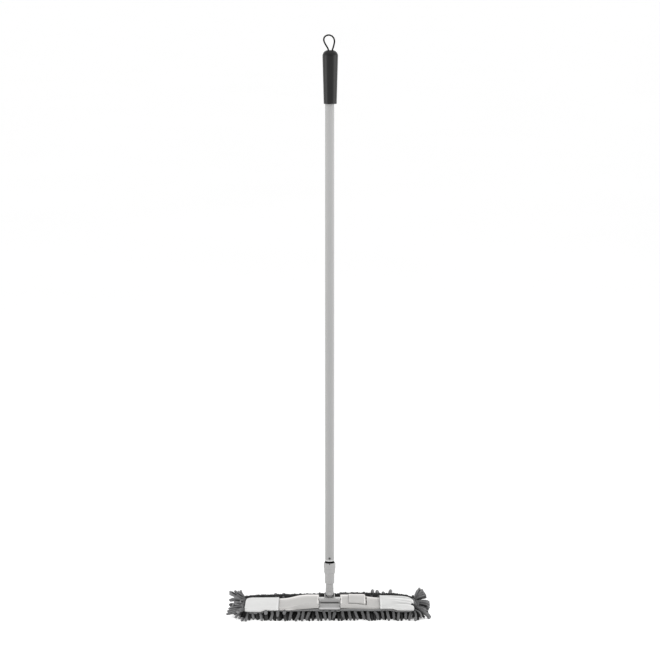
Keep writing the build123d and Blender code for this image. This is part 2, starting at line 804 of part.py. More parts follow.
def pad_outline(half_length, inset, z_from, z_to):
    # The part of the pad on the right wing.
    return end_outline(pad_split, half_length - inset, backing_depth / 2 - inset, backing_corner - inset,
                       z_from, z_to)


def make_wing_backing():
    return pad_outline(backing_length / 2, 0, backing_foot, backing_top)


def make_centre_backing():
    half = pad_split - soft_gap
    return block(-half, half, -backing_depth / 2, backing_depth / 2, backing_foot, backing_top)


def wander(index, phase):
    # Uneven but repeatable value between -1 and 1.
    return math.sin(2.4 * index + phase)


def finger(points, section):
    # Square-section finger through the points, in straight lengths.
    lengths = []
    for start, end in zip(points, points[1:]):
        run = end - start
        plane = Plane(start, x_dir=section.x_dir, z_dir=section.z_dir)
        lengths.append(extrude(plane * Rectangle(finger_width, finger_width), amount=run.length, dir=run))
    return lengths


def under_finger(x, y):
    # Finger that stands on the floor under the pad.
    return finger([Vector(x, y, pile_height - pile_slice / 2), Vector(x, y, 0)], Plane.XY)


def edge_finger(x, y, outward, index):
    # Finger that comes out from under the edge of the pad and hangs to the floor.
    along = Vector(-outward.Y, outward.X, 0)
    lean = along * (edge_lean * wander(index, 0.4))
    edge = Vector(x, y, 0)
    root = edge - outward * finger_width + Vector(0, 0, pile_height - pile_slice / 2)
    knee = edge + outward * (0.4 * edge_reach) + lean * 0.4 + Vector(0, 0, pile_height / 2)
    tip = edge + outward * (edge_reach - finger_width / 2) + lean
    return finger([root, knee, tip], Plane.XY)


def back_finger(x, index):
    # Finger that turns up behind the pad.
    level = pile_height - finger_width / 2
    behind = backing_depth / 2 + finger_width / 2 + soft_gap + 0.5 * abs(edge_lean)
    run = finger([Vector(x, backing_depth / 2 - finger_width, level), Vector(x, behind, level)], Plane.XZ)
    foot = Vector(x, behind, level - finger_width / 2)
    tip = Vector(x + edge_lean * wander(index, 0.4), behind, pile_height + back_rise * (0.9 + 0.1 * wander(index, 1)))
    return run + finger([foot, tip], Plane.XY)


def end_finger(y, index):
    # Finger that fans out past the end of the mop and curls up.
    end = backing_length / 2
    level = pile_height - finger_width / 2
    climb = end_rise * (0.5 + 0.5 * wander(index, 0.9))
    places = [
        (end - 1.5 * finger_width, y, level),
        (end + 0.6 * finger_width, y, level),
        (end + 0.6 * end_reach, 1.15 * y, level + 0.4 * climb),
        (end + end_reach, 1.35 * y, level + climb),
    ]
    return finger([Vector(*place) for place in places], Plane.YZ)


def under_fingers(x_first, x_last):
    fingers = []
    rows = int((backing_depth / 2 - 2 * finger_width) / finger_pitch)
    columns = int((x_last - x_first) / finger_pitch)
    for column in range(columns + 1):
        for row in range(-rows, rows + 1):
            fingers.append(under_finger(x_first + column * finger_pitch, row * finger_pitch))
    return fingers


def edge_fingers(x_first, x_last):
    # Front and back rows. Every second finger at the back turns up.
    fingers = []
    count = int((x_last - x_first) / edge_pitch)
    for index in range(count + 1):
        x = x_first + index * edge_pitch
        fingers.append(edge_finger(x, -backing_depth / 2, Vector(0, -1, 0), index))
        if index % 2:
            fingers.append(back_finger(x, index))
        else:
            fingers.append(edge_finger(x, backing_depth / 2, Vector(0, 1, 0), index))
    return fingers


def corner_row():
    fingers = []
    middle_x = backing_length / 2 - backing_corner
    middle_y = backing_depth / 2 - backing_corner
    step = 90 / (corner_fingers + 1)
    for index in range(1, corner_fingers + 1):
        angle = math.radians(90 - step * index)
        for side in (-1, 1):
            outward = Vector(math.cos(angle), side * math.sin(angle), 0)
            place = Vector(middle_x, side * middle_y, 0) + outward * backing_corner
            fingers.append(edge_finger(place.X, place.Y, outward, index))
    return fingers


def make_wing_pile():
    slice_foot = pile_height - pile_slice
    plate = pad_outline(backing_length / 2, 1.0, slice_foot, pile_height)
    straight_end = backing_length / 2 - backing_corner
    first = pad_split + finger_width
    fingers = under_fingers(first, straight_end)
    fingers += edge_fingers(first, straight_end - finger_width)
    fingers += corner_row()
    for index in range(end_fingers):
        fingers.append(end_finger((index - (end_fingers - 1) / 2) * end_pitch, index))
    return plate.fuse(*sum(fingers, [])), len(fingers)


def make_centre_pile():
    half = pad_split - soft_gap
    depth = backing_depth / 2 - 1.0
    plate = block(-half, half, -depth, depth, pile_height - pile_slice, pile_height)
    columns = int((half - finger_width) / finger_pitch)
    fingers = under_fingers(-columns * finger_pitch, columns * finger_pitch)
    rows = int((half - finger_width) / edge_pitch)
    fingers += edge_fingers(-rows * edge_pitch, rows * edge_pitch)
    return plate.fuse(*sum(fingers, [])), len(fingers)


def main():
    right_pile, wing_count = make_wing_pile()
    centre_pile, centre_count = make_centre_pile()
    print("fingers", 2 * wing_count + centre_count)
    wing_backing = make_wing_backing()
    latch_leaf = make_leaf(leaf_anchor_place)
    nodes = {
        "handle_tube": make_handle_tube(),
        "handle_grip": make_handle_grip(),
        "hang_loop": make_hang_loop(),
        "loop_knot": make_loop_knot(),
        "thread_plug": make_thread_plug(),
        "plug_rivets": make_plug_rivets(),
        "swivel_socket": make_swivel_socket(),
        "swivel_pin": make_swivel_pin(),
        "tilt_barrel": make_tilt_barrel(),
        "tilt_axle": make_tilt_axle(),
        "centre_bridge": make_centre_bridge(),
        "left_hinge_pin": make_hinge_pin(-1),
        "right_hinge_pin": make_hinge_pin(1),
        "left_wing": make_left_wing(),
        "right_wing": make_right_wing(),
        "release_pedal": make_release_pedal(),
        "pedal_pins": make_pedal_pins(),
        "pedal_spring": make_pedal_spring(),
        "pedal_spring_screw": make_pedal_spring_screw(),
        "latch_spring": latch_leaf,
        "latch_spring_screw": make_leaf_screw(leaf_anchor_place),
        "click_spring": mirror(make_leaf(click_anchor_place), about=Plane.YZ),
        "click_spring_screw": mirror(make_leaf_screw(click_anchor_place), about=Plane.YZ),
        "right_pocket": make_pocket(wing_low_top + right_wing_swell),
        "left_pocket": mirror(make_pocket(wing_low_top), about=Plane.YZ),
        "right_backing": wing_backing,
        "left_backing": mirror(wing_backing, about=Plane.YZ),
        "centre_backing": make_centre_backing(),
        "right_pile": right_pile,
        "left_pile": mirror(right_pile, about=Plane.YZ),
        "centre_pile": centre_pile,
    }
    os.makedirs("parts", exist_ok=True)
    for name, part in nodes.items():
        export_step(part, f"parts/{name}.step")
    print("nodes", len(nodes))


main()
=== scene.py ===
import bpy
import json
import math
import random
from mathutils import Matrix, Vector, noise


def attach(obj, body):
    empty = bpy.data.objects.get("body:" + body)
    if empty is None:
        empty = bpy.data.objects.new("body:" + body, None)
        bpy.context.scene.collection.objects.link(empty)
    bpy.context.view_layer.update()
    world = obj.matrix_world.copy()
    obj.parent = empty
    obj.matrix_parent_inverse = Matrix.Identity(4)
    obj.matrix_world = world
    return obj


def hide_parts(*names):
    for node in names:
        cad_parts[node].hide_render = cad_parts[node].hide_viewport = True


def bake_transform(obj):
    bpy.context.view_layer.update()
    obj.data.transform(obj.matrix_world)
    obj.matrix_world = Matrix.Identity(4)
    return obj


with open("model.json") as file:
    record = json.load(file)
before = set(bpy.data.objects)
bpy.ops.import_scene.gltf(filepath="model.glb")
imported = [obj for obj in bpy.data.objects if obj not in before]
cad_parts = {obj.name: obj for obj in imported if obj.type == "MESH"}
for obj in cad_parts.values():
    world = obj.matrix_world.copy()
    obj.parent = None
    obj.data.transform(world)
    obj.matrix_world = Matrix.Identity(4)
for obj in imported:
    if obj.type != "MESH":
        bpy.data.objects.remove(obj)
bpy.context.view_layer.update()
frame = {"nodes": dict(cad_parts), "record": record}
nodes = frame["nodes"]
mm = 0.001


# shader maths: a socket that can be added, multiplied and so on
class Value:
    def __init__(self, owner, socket):
        self.owner = owner
        self.socket = socket

    def math(self, operation, first, second):
        return self.owner.node("ShaderNodeMath", {"operation": operation}, {0: first, 1: second})

    def __add__(self, other):
        return self.math("ADD", self, other)

    def __radd__(self, other):
        return self.math("ADD", other, self)

    def __sub__(self, other):
        return self.math("SUBTRACT", self, other)

    def __rsub__(self, other):
        return self.math("SUBTRACT", other, self)

    def __mul__(self, other):
        return self.math("MULTIPLY", self, other)

    def __rmul__(self, other):
        return self.math("MULTIPLY", other, self)

    def __truediv__(self, other):
        return self.math("DIVIDE", self, other)

    def __rtruediv__(self, other):
        return self.math("DIVIDE", other, self)

    def __gt__(self, other):
        return self.math("GREATER_THAN", self, other)

    def __lt__(self, other):
        return self.math("LESS_THAN", self, other)

    def between(self, low, high):
        return (self > low) * (self < high)

    def sine(self):
        return self.math("SINE", self, 0.0)

    def size(self):
        return self.math("ABSOLUTE", self, 0.0)

    def larger(self, other):
        return self.math("MAXIMUM", self, other)


# the node tree of a material or of the world
class ShaderTree:
    def __init__(self, owner, shader, place):
        owner.use_nodes = True
        self.tree = owner.node_tree
        self.shader = self.tree.nodes[shader]
        self.place = self.node("ShaderNodeTexCoord", {}, {}, place)

    # makes any node: its type, its settings, then what goes into its sockets
    def node(self, kind, settings, sockets, out=0):
        made = self.tree.nodes.new(kind)
        for name, value in settings.items():
            if name == "stops":
                self.setStops(made.color_ramp, value)
            else:
                setattr(made, name, value)
        for name, value in sockets.items():
            if isinstance(value, Value):
                self.tree.links.new(value.socket, made.inputs[name])
            else:
                made.inputs[name].default_value = value
        return Value(self, made.outputs[out])

    def setStops(self, ramp, stops):
        while len(ramp.elements) < len(stops):
            ramp.elements.new(0.5)
        for element, (position, shade) in zip(ramp.elements, stops):
            element.position = position
            element.color = (shade, shade, shade, 1) if isinstance(shade, float) else (*shade, 1)

    def axes(self):
        split = self.node("ShaderNodeSeparateXYZ", {}, {0: self.place})
        return [Value(self, part) for part in split.socket.node.outputs]

    def feed(self, socket, value):
        self.tree.links.new(value.socket, self.shader.inputs[socket])


class Finish(ShaderTree):
    def __init__(self, name, roughness, **constants):
        self.material = bpy.data.materials.new(name)
        super().__init__(self.material, "Principled BSDF", "Object")
        self.shader.inputs["Roughness"].default_value = roughness
        for socket, value in constants.items():
            self.shader.inputs[socket.replace("_", " ")].default_value = value

    def spots(self, scale, detail=2.0, stretch=(1, 1, 1), rough=0.5):
        place = self.node("ShaderNodeMapping", {}, {"Vector": self.place, "Scale": stretch})
        sockets = {"Vector": place, "Scale": scale, "Detail": detail, "Roughness": rough}
        return self.node("ShaderNodeTexNoise", {}, sockets)

    def ramp(self, value, *stops):
        return self.node("ShaderNodeValToRGB", {"stops": stops}, {"Fac": value})

    def mix(self, factor, first, second):
        sockets = {0: factor}
        for slot, colour in ((6, first), (7, second)):
            sockets[slot] = colour if isinstance(colour, Value) else (*colour, 1)
        return self.node("ShaderNodeMix", {"data_type": "RGBA"}, sockets, 2)

    def attribute(self, name):
        return self.node("ShaderNodeAttribute", {"attribute_name": name}, {}, "Fac")

    # 0 on flats, more along the edges of a piece
    def edges(self, radius):
        rounded = self.node("ShaderNodeBevel", {"samples": 4}, {"Radius": radius})
        plain = self.node("ShaderNodeNewGeometry", {}, {}, "Normal")
        dot = {"operation": "DOT_PRODUCT"}
        return 1 - self.node("ShaderNodeVectorMath", dot, {0: rounded, 1: plain}, "Value")

    # 1 in the open, less in grooves and corners
    def open(self, distance):
        return self.node("ShaderNodeAmbientOcclusion", {"samples": 8}, {"Distance": distance}, "AO")

    def bump(self, height, distance, strength):
        sockets = {"Height": height, "Distance": distance, "Strength": strength}
        self.feed("Normal", self.node("ShaderNodeBump", {}, sockets, "Normal"))


def addObject(name, data):
    made = bpy.data.objects.new(name, data)
    bpy.context.scene.collection.objects.link(made)
    return made


def addMesh(name, points, faces):
    shape = bpy.data.meshes.new(name)
    shape.from_pydata(points, [], faces)
    shape.update()
    return addObject(name, shape)


def dress(piece, material):
    piece.data.materials.clear()
    piece.data.materials.append(material)


def deselectAll():
    bpy.ops.object.select_all(action="DESELECT")


def makeActive(piece):
    deselectAll()
    piece.select_set(True)
    bpy.context.view_layer.objects.active = piece


# joins several pieces into the first one
def joinAll(pieces):
    makeActive(pieces[0])
    for piece in pieces:
        piece.select_set(True)
    bpy.ops.object.join()
    return bpy.context.object


def recalculate(piece, merge=0):
    makeActive(piece)
    bpy.ops.object.mode_set(mode="EDIT")
    bpy.ops.mesh.select_all(action="SELECT")
    if merge:
        bpy.ops.mesh.remove_doubles(threshold=merge)
    bpy.ops.mesh.normals_make_consistent(inside=False)
    bpy.ops.object.mode_set(mode="OBJECT")
    bpy.ops.object.shade_smooth()


# puts a camera or a lamp in its place and turns it to what it looks at
def aimAt(thing, place, target):
    thing.location = place
    look = Vector(target) - Vector(place)
    thing.rotation_euler = look.to_track_quat("-Z", "Y").to_euler()


# camera: stands 6.2 m in front, a little above the grip
shot = {"place": (0, -6.2, 1.67), "aim": (0, 0, 0.7125), "lens": 140.4, "sensor": 36, "shift": 0.0006, "far": 400}


def makeCamera():
    data = bpy.data.cameras.new("shotCamera")
    data.lens = shot["lens"]
    data.sensor_width = shot["sensor"]
    data.shift_x = shot["shift"]
    data.clip_end = shot["far"]
    camera = addObject("shotCamera", data)
    aimAt(camera, shot["place"], shot["aim"])
    bpy.context.scene.camera = camera
    print("camera set")


# studio: pale paper that glows round the mop, white surround, two tall soft boxes at the sides
studio = {
    "floorSize": 300, "floorShade": 0.93, "floorGlow": 0.6,
    "footprint": (0.255, 0.055),  # half the size of the mop on the paper
    "glowReach": 4,  # in footprints
    "glow": [(0.19, 0.0), (0.24, 1.0), (0.36, 0.75), (0.8, 0.3)],  # none under the mop, most beside it
    "surround": 0.84, "ceiling": 0.1, "behindCamera": 0.65, "behindSpan": (-1.0, -0.5),
    "boxes": [
        {"name": "leftBox", "place": (-2.4, -0.7, 1.1), "size": (1.6, 2.2), "power": 16},
        {"name": "rightBox", "place": (2.4, -0.6, 1.1), "size": (2.0, 2.2), "power": 18},
    ],
    "boxAim": (0, 0, 0.9),
}


def makeFloor():
    bpy.ops.mesh.primitive_plane_add(size=studio["floorSize"], location=(0, 0, 0))
    floor = bpy.context.object
    floor.name = "studioFloor"
    paper = Finish("studioPaper", 0.9, Emission_Strength=studio["floorGlow"])
    shade = studio["floorShade"]
    paper.feed("Base Color", paper.ramp(paper.spots(0.8), (0.3, shade - 0.01), (0.7, shade)))
    x, y = paper.axes()[:2]
    halfWide, halfDeep = studio["footprint"]
    off = (x.size() / halfWide).larger(y.size() / halfDeep) / studio["glowReach"]
    paper.feed("Emission Color", paper.ramp(off, *studio["glow"]))
    dress(floor, paper.material)


def makeSurround():
    world = bpy.data.worlds.new("studioWorld")
    sky = ShaderTree(world, "Background", "Generated")
    sky.shader.inputs["Color"].default_value = (1, 1, 1, 1)
    y, z = sky.axes()[1:]
    low, high = studio["surround"], studio["surround"] + studio["ceiling"]
    upward = sky.node("ShaderNodeMapRange", {}, {"Value": z, "To Min": low, "To Max": high})
    start, end = studio["behindSpan"]
    behind = {"Value": y, "From Min": start, "From Max": end, "To Min": studio["behindCamera"]}
    sky.feed("Strength", upward * sky.node("ShaderNodeMapRange", {}, behind))
    bpy.context.scene.world = world


def makeStudio():
    makeFloor()
    makeSurround()
    for box in studio["boxes"]:
        data = bpy.data.lights.new(box["name"], "AREA")
        data.shape = "RECTANGLE"
        data.size, data.size_y = box["size"]
        data.energy = box["power"]
        aimAt(addObject(box["name"], data), box["place"], studio["boxAim"])
    bpy.context.scene.view_settings.view_transform = "Standard"
    print("studio set")


# tube: satin paint, darker towards the floor, with a painted highlight round its foot
tubePaint = {
    "dark": (0.437, 0.437, 0.434), "light": (0.466, 0.466, 0.462), "low": (0.385, 0.385, 0.382),
    "footHighlight": (0.66, 0.66, 0.655), "footHighlightBelow": 0.1388, "footHighlightShare": 0.8, "top": 1.4, "gloss": (0.34, 0.5),
}


def makeTubePaint():
    t = tubePaint
    paint = Finish("tubePaint", 0.4, Specular_IOR_Level=0.05)
    tone = paint.ramp(paint.spots(14, 3, (1, 1, 0.15)), (0.3, t["dark"]), (0.7, t["light"]))
    z = paint.axes()[2]
    tone = paint.mix(paint.ramp(z / t["top"], (0.1, 0.6), (0.8, 0.0)), tone, t["low"])
    # painted highlight: a pale band round the foot of the tube
    paint.feed("Base Color", paint.mix((z < t["footHighlightBelow"]) * t["footHighlightShare"], tone, t["footHighlight"]))
    scuffs = paint.spots(90, 4, (1, 1, 0.08))
    paint.feed("Roughness", paint.ramp(scuffs, (0.45, t["gloss"][0]), (0.75, t["gloss"][1])))
    paint.bump(paint.spots(700, 2), 0.0001, 0.25)
    return paint.material


# mouldings: painted highlights along the edges, painted shade in the hollows
moulded = {
    "grip_plastic": {"name": "gripPlastic", "dark": 0.002, "light": 0.004, "edge": 0.02, "warm": 0.97,
                     "gloss": (0.28, 0.34), "level": 0.4, "grain": 900, "depth": 0.0002,
                     "paintedShadeTone": 0.5, "hollow": 0.006, "paintedShadeStops": ((0.25, 1.0), (0.8, 0.0))},
    "black_plastic": {"name": "blackPlastic", "dark": 0.001, "light": 0.0015, "edge": 0.002, "warm": 1.0,
                      "gloss": (0.6, 0.7), "level": 0.05, "grain": 800, "depth": 0.0001,
                      "paintedShadeTone": 0.5, "hollow": 0.006, "paintedShadeStops": ((0.25, 1.0), (0.8, 0.0))},
    "grey_plastic": {"name": "greyPlastic", "dark": 0.412, "light": 0.442, "edge": 0.62, "warm": 0.99,
                     "gloss": (0.45, 0.55), "level": 0.05, "grain": 900, "depth": 0.0001,
                     "paintedShadeTone": 0.06, "hollow": 0.003, "paintedShadeStops": ((0.5, 1.0), (0.9, 0.0))},
    "white_plastic": {"name": "whitePlastic", "dark": 0.585, "light": 0.615, "edge": 0.95, "warm": 0.95,
                      "gloss": (0.42, 0.52), "level": 0.2, "grain": 900, "depth": 0.0001,
                      "paintedShadeTone": 0.07, "hollow": 0.006, "paintedShadeStops": ((0.25, 1.0), (0.8, 0.0))},
}
# width of the painted edge highlights, in metres
highlightEdgeWide = 0.0026

# places on the white pieces, in metres
white = {"front": (0.54, 0.53, 0.515), "lipBack": -0.04, "lipFace": -0.0435, "paintedShadeBehind": -0.0455,
         "pedalEnd": 0.0884, "pedalFrom": 0.034}

# places on the grey pieces, in metres; what is half of something is measured from the middle
grey = {"paintedHighlightBand": (0.8, 0.8, 0.79), "barrelTop": 0.0506, "barrelHalf": 0.0265,
        "saddleHalf": 0.0104, "saddleFrom": 0.044, "seamHalf": 0.0228, "seamDepth": (-0.0118, 0),
        "wall": (0.01, 0.013), "wallFrom": 0.0436, "lipFace": -0.043, "lipTop": 0.03,
        "plateEdge": (-0.0152, -0.0125), "plateTop": 0.031}


# the white is painted darker towards the front as shade, and painted paler along its back and inner edges, the
# pedal's end and the left wing's front lip as highlights
def markWhite(plastic, tone, paintedHighlight, paintedShade):
    x, y, z = plastic.axes()
    # painted shade: darker towards the front
    tone = plastic.mix(plastic.ramp(y * 10 + 0.5, (0.0, 1.0), (1.0, 0.0)), tone, white["front"])
    behindLip = y > white["lipBack"]
    # painted highlights along the back edge, the inner edges and the pedal's end
    back = plastic.ramp(y * 10, (0.12, 0.0), (0.28, 0.25), (0.37, 1.0))
    innerEdgeHighlight = plastic.ramp(x.size() * 10, (0.285, 1.0), (0.32, 0.0))
    pedalEnd = plastic.ramp((x - white["pedalEnd"]).size() * 100, (0.1, 1.0), (0.35, 0.0))
    pedalEnd = pedalEnd * (z > white["pedalFrom"])
    # painted highlight on the front lip of the left wing
    lip = plastic.ramp(x * 10 + 1.5, (0.55, 1.0), (0.7, 0.0)) * (y < white["lipFace"])
    lip = lip * plastic.ramp(z * 10, (0.245, 1.0), (0.275, 0.15))
    pale = back.larger(innerEdgeHighlight * behindLip).larger(pedalEnd * behindLip).larger(lip)
    # painted shadow along the mouths of the pockets, merged into the painted shade
    mouths = plastic.ramp(x.size() * 10 - 1, (0.222, 0.0), (0.24, 0.2))  # along the mouths of the pockets
    paintedShade = (paintedShade * (y > white["paintedShadeBehind"])).larger(mouths)
    return tone, (paintedHighlight * behindLip).larger(pale), paintedShade


# the grey has painted highlights on the barrel, the walls beside the saddle, the plate's back edge and its front
# lip, and painted shade under the fork and along the seam of the plate
def markGrey(plastic, paintedHighlight, paintedShade):
    x, y, z = plastic.axes()
    wide = x.size()
    # painted highlight along the top of the barrel
    barrel = plastic.ramp(z * 10, (0.405, 0.0), (0.425, 1.0)) * (z < grey["barrelTop"])
    barrel = barrel * wide.between(grey["saddleHalf"], grey["barrelHalf"])
    # painted highlight on the plate's front lip
    lip = (y < grey["lipFace"]) * (z < grey["lipTop"])
    # painted shade in the saddle under the fork
    saddle = plastic.ramp(z * 10, (0.485, 0.6), (0.515, 0.0)) * (z > grey["saddleFrom"])
    saddle = saddle * (wide < grey["saddleHalf"])
    # painted shade: a dark band on the barrel above the seam of the plate
    seam = plastic.ramp(z * 10, (0.322, 0.7), (0.336, 0.0)) * y.between(*grey["seamDepth"])
    seam = seam * (wide < grey["seamHalf"])
    # painted highlights on the walls beside the saddle and along the back edge of the plate
    wall = wide.between(*grey["wall"]) * z.between(grey["wallFrom"], grey["barrelTop"])
    plate = y.between(*grey["plateEdge"]) * (z < grey["plateTop"])
    paintedShade = paintedShade.larger(saddle).larger(seam) * (1 - wall)
    return paintedHighlight.larger(lip).larger(barrel), paintedShade, barrel.larger(wall).larger(plate)


def makeMoulded(kind):
    m = moulded[kind]
    plastic = Finish(m["name"], m["gloss"][1], Specular_IOR_Level=m["level"])
    shades = (m["dark"], m["light"], m["edge"])
    dark, light, edge = ((s, s * (1 + m["warm"]) / 2, s * m["warm"]) for s in shades)
    tone = plastic.ramp(plastic.spots(22, 4), (0.3, dark), (0.7, light))
    # painted highlight: paler along the rounded edges, where light catches them
    paintedHighlight = plastic.ramp(plastic.edges(highlightEdgeWide), (0.02, 0.0), (0.12, 0.8))
    # painted shade: darker in the hollows and grooves, where shade falls
    paintedShade = plastic.ramp(plastic.open(m["hollow"]), *m["paintedShadeStops"])
    if kind == "white_plastic":
        tone, paintedHighlight, paintedShade = markWhite(plastic, tone, paintedHighlight, paintedShade)
    if kind == "grey_plastic":
        paintedHighlight, paintedShade, paintedHighlightBand = markGrey(plastic, paintedHighlight, paintedShade)
    # the tone with its painted highlights, before the painted shade goes over it
    unshadedTone = plastic.mix(paintedHighlight, tone, edge)
    if kind == "grey_plastic":
        unshadedTone = plastic.mix(paintedHighlightBand, unshadedTone, grey["paintedHighlightBand"])
    plastic.feed("Base Color", plastic.mix(paintedShade, unshadedTone, tuple(s * m["paintedShadeTone"] for s in dark)))
    gloss = plastic.ramp(plastic.spots(60, 3), (0.3, m["gloss"][0]), (0.7, m["gloss"][1]))
    plastic.feed("Roughness", gloss)
    plastic.bump(plastic.spots(m["grain"], 3), m["depth"], 0.35)
    return plastic.material


# pins, rivets and springs
steels = {"pin_steel": ("pinSteel", 0.55), "rivet_steel": ("rivetSteel", 0.12),
          "spring_steel": ("springSteel", 0.42)}


def makeSteel(name, shade):
    steel = Finish(name, 0.35, Metallic=1.0)
    lines = steel.spots(160, 3, (1, 0.06, 1))
    steel.feed("Base Color", steel.ramp(lines, (0.3, shade * 0.85), (0.7, shade)))
    steel.feed("Roughness", steel.ramp(lines, (0.3, 0.28), (0.7, 0.45)))
    return steel.material


def dressFrame():
    finishes = {kind: makeMoulded(kind) for kind in moulded}
    finishes["tube_paint"] = makeTubePaint()
    for kind, look in steels.items():
        finishes[kind] = makeSteel(*look)
    for part in frame["record"]["subparts"]:
        if part["material_slot"] in finishes:
            dress(nodes[part["node"]], finishes[part["material_slot"]])
    print("frame dressed")


# hanging loop: a thin braided cord that goes in and out of the top of the grip
loop = {
    "route": [(-2.4, 1385.5), (-2.4, 1393.0), (-7.9, 1401.7), (-12.7, 1410.1), (-14.6, 1417.1), (-11.4, 1424.5),
              (-3.6, 1427.8), (4.6, 1426.1), (10.3, 1420.1), (12.1, 1411.9), (10.4, 1404.1), (8.6, 1397.1),
              (6.4, 1392.0), (6.4, 1385.5)],
    "diameter": 4.0, "sides": 16, "strands": 4, "lay": 5.0, "relief": 0.05, "length": 101.9,
}


def followLoop():
    curve = bpy.data.curves.new("loopRoute", "CURVE")
    curve.dimensions = "3D"
    curve.resolution_u = 12
    spline = curve.splines.new("NURBS")
    spline.points.add(len(loop["route"]) - 1)
    for point, (x, z) in zip(spline.points, loop["route"]):
        point.co = (x * mm, 0, z * mm, 1)
    spline.order_u = 3
    spline.use_endpoint_u = True
    guide = addObject("loopRoute", curve)
    bpy.context.view_layer.update()
    line = bpy.data.meshes.new_from_object(guide)
    path = [v.co.copy() for v in line.vertices]
    bpy.data.objects.remove(guide)
    return path


def makeBraid():
    braid = Finish("loopBraid", 0.85, Specular_IOR_Level=0.05)
    braid.feed("Base Color", braid.ramp(braid.spots(900, 3), (0.3, 0.001), (0.7, 0.003)))
    braid.bump(braid.spots(1600, 2), 0.0001, 0.5)
    return braid.material


def makeLoop():
    path = followLoop()
    sides, strands = loop["sides"], loop["strands"]
    radius = loop["diameter"] * mm / 2
    back = Vector((0, 1, 0))
    points, faces, run = [], [], 0.0
    for i, centre in enumerate(path):
        before, after = path[max(i - 1, 0)], path[min(i + 1, len(path) - 1)]
        across = (after - before).normalized().cross(back)
        run += (centre - before).length
        turn = run / (loop["lay"] * mm) * 2 * math.pi
        for j in range(sides):
            angle = 2 * math.pi * j / sides
            weave = math.sin(strands * angle + turn) * math.sin(strands * angle - turn)
            reach = radius * (1 - loop["relief"] + loop["relief"] * weave)
            points.append(centre + reach * (math.cos(angle) * across + math.sin(angle) * back))
    for i in range(len(path) - 1):
        for j in range(sides):
            k = (j + 1) % sides
            faces.append((i * sides + j, i * sides + k, (i + 1) * sides + k, (i + 1) * sides + j))
    faces.append(tuple(range(sides - 1, -1, -1)))
    faces.append(tuple(range(len(points) - sides, len(points))))
    piece = addMesh("hangLoop", points, faces)
    recalculate(piece)
    braid = makeBraid()
    dress(piece, braid)
    dress(nodes["loop_knot"], braid)
    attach(piece, "handle")
    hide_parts("hang_loop")
    print("loop made")


def smooth(low, high, value):
    t = min(max((value - low) / (high - low), 0), 1)
    return t * t * (3 - 2 * t)


# reads a height off a list of places
def along(line, x):
    for (x0, z0), (x1, z1) in zip(line, line[1:]):
        if x <= x1:
            return z0 + (z1 - z0) * min(max((x - x0) / (x1 - x0), 0), 1)
    return line[-1][1]


# turns the square corners of a flat grid into round ones: how far out of the core a point is, and where it lies
def roundPlan(x, y, core):
    inX, inY = min(x, core["endX"]), min(max(y, -core["sideY"]), core["sideY"])
    outX, outY = max(x - core["endX"], 0), y - inY
    reach = max(outX, abs(outY))
    base, away = Vector((inX, inY, 0)), Vector((outX, outY, 0))
    if reach == 0:
        return reach, base, away
    square = core["square"] if outY < 0 else 0  # the front corners are squarer
    return reach, base, away.normalized() * (1 - square) + away / reach * square


def addGrid(name, rows):
    wide = len(rows[0])
    faces = []
    for i in range(len(rows) - 1):
        for j in range(wide - 1):
            a = i * wide + j
            faces.append((a, a + 1, a + wide + 1, a + wide))
    return addMesh(name, [p for row in rows for p in row], faces)


def applyModifier(piece, kind, **settings):
    makeActive(piece)
    modifier = piece.modifiers.new(kind.title(), kind)
    for name, value in settings.items():
        setattr(modifier, name, value)
    bpy.ops.object.modifier_apply(modifier=modifier.name)


# soft pieces: their placement is baked into their mesh; they are not bent across the wing's hinge
def bendAcross(piece):
    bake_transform(piece)


# pockets: white cloth that is sewn to the pad along its edge and goes over the ends of the wings
pocket = {
    "depth": 53.2, "fold": 4.6, "cloth": 1.1, "hem": 4.5, "hemRise": 0.5, "step": 1.7, "wall": 8.6, "square": 0.75,
    -1: {"name": "leftPocketCloth", "node": "left_pocket", "body": "left_wing_body", "wing": "left_wing",
         "mouth": 126.0, "end": 209.0, "corner": 18.0,
         "height": [(124, 28.9), (160, 28.9), (210, 28.2)],
         "seam": [(124, 23.2), (160, 23.0), (170, 19.6), (210, 19.6)]},
    1: {"name": "rightPocketCloth", "node": "right_pocket", "body": "right_wing_body", "wing": "right_wing",
        "mouth": 124.5, "end": 208.5, "corner": 30.0,
        "height": [(124, 34.2), (160, 34.0), (190, 32.2), (206, 29.8)],
        "seam": [(124, 27.9), (156, 27.6), (167, 23.6), (206, 22.2)]},
}

# drawn folds that run in from the end of the right pocket: place across, slope, depth, width, where they begin
drawnFolds = [(20, -0.12, 1.2, 4.5, 128), (8, -0.3, -1.7, 3.0, 150), (0, -0.3, 1.2, 4.0, 150),
              (36, -0.05, -1.0, 4.0, 140), (-22, 0.08, -0.9, 5.0, 160), (-36, 0.0, 0.7, 5.0, 150)]
foldRun = {"slopeFrom": 165, "comeIn": 25, "flatten": (196, 212), "flattened": 0.4}


def pocketRelief(x, y, side):
    place = Vector((x * 0.022, y * 0.03, 7.0 * side))
    soft = noise.noise(place) * 0.5 + noise.noise(place * 2.3) * 0.25
    if side < 0:
        return soft * 0.7
    folds = 0
    for start, slope, depth, wide, begin in drawnFolds:
        off = (y - start - slope * (x - foldRun["slopeFrom"])) / wide
        folds += depth * math.exp(-off * off) * smooth(begin, begin + foldRun["comeIn"], x)
    return soft + folds * (1 - foldRun["flattened"] * smooth(*foldRun["flatten"], x))


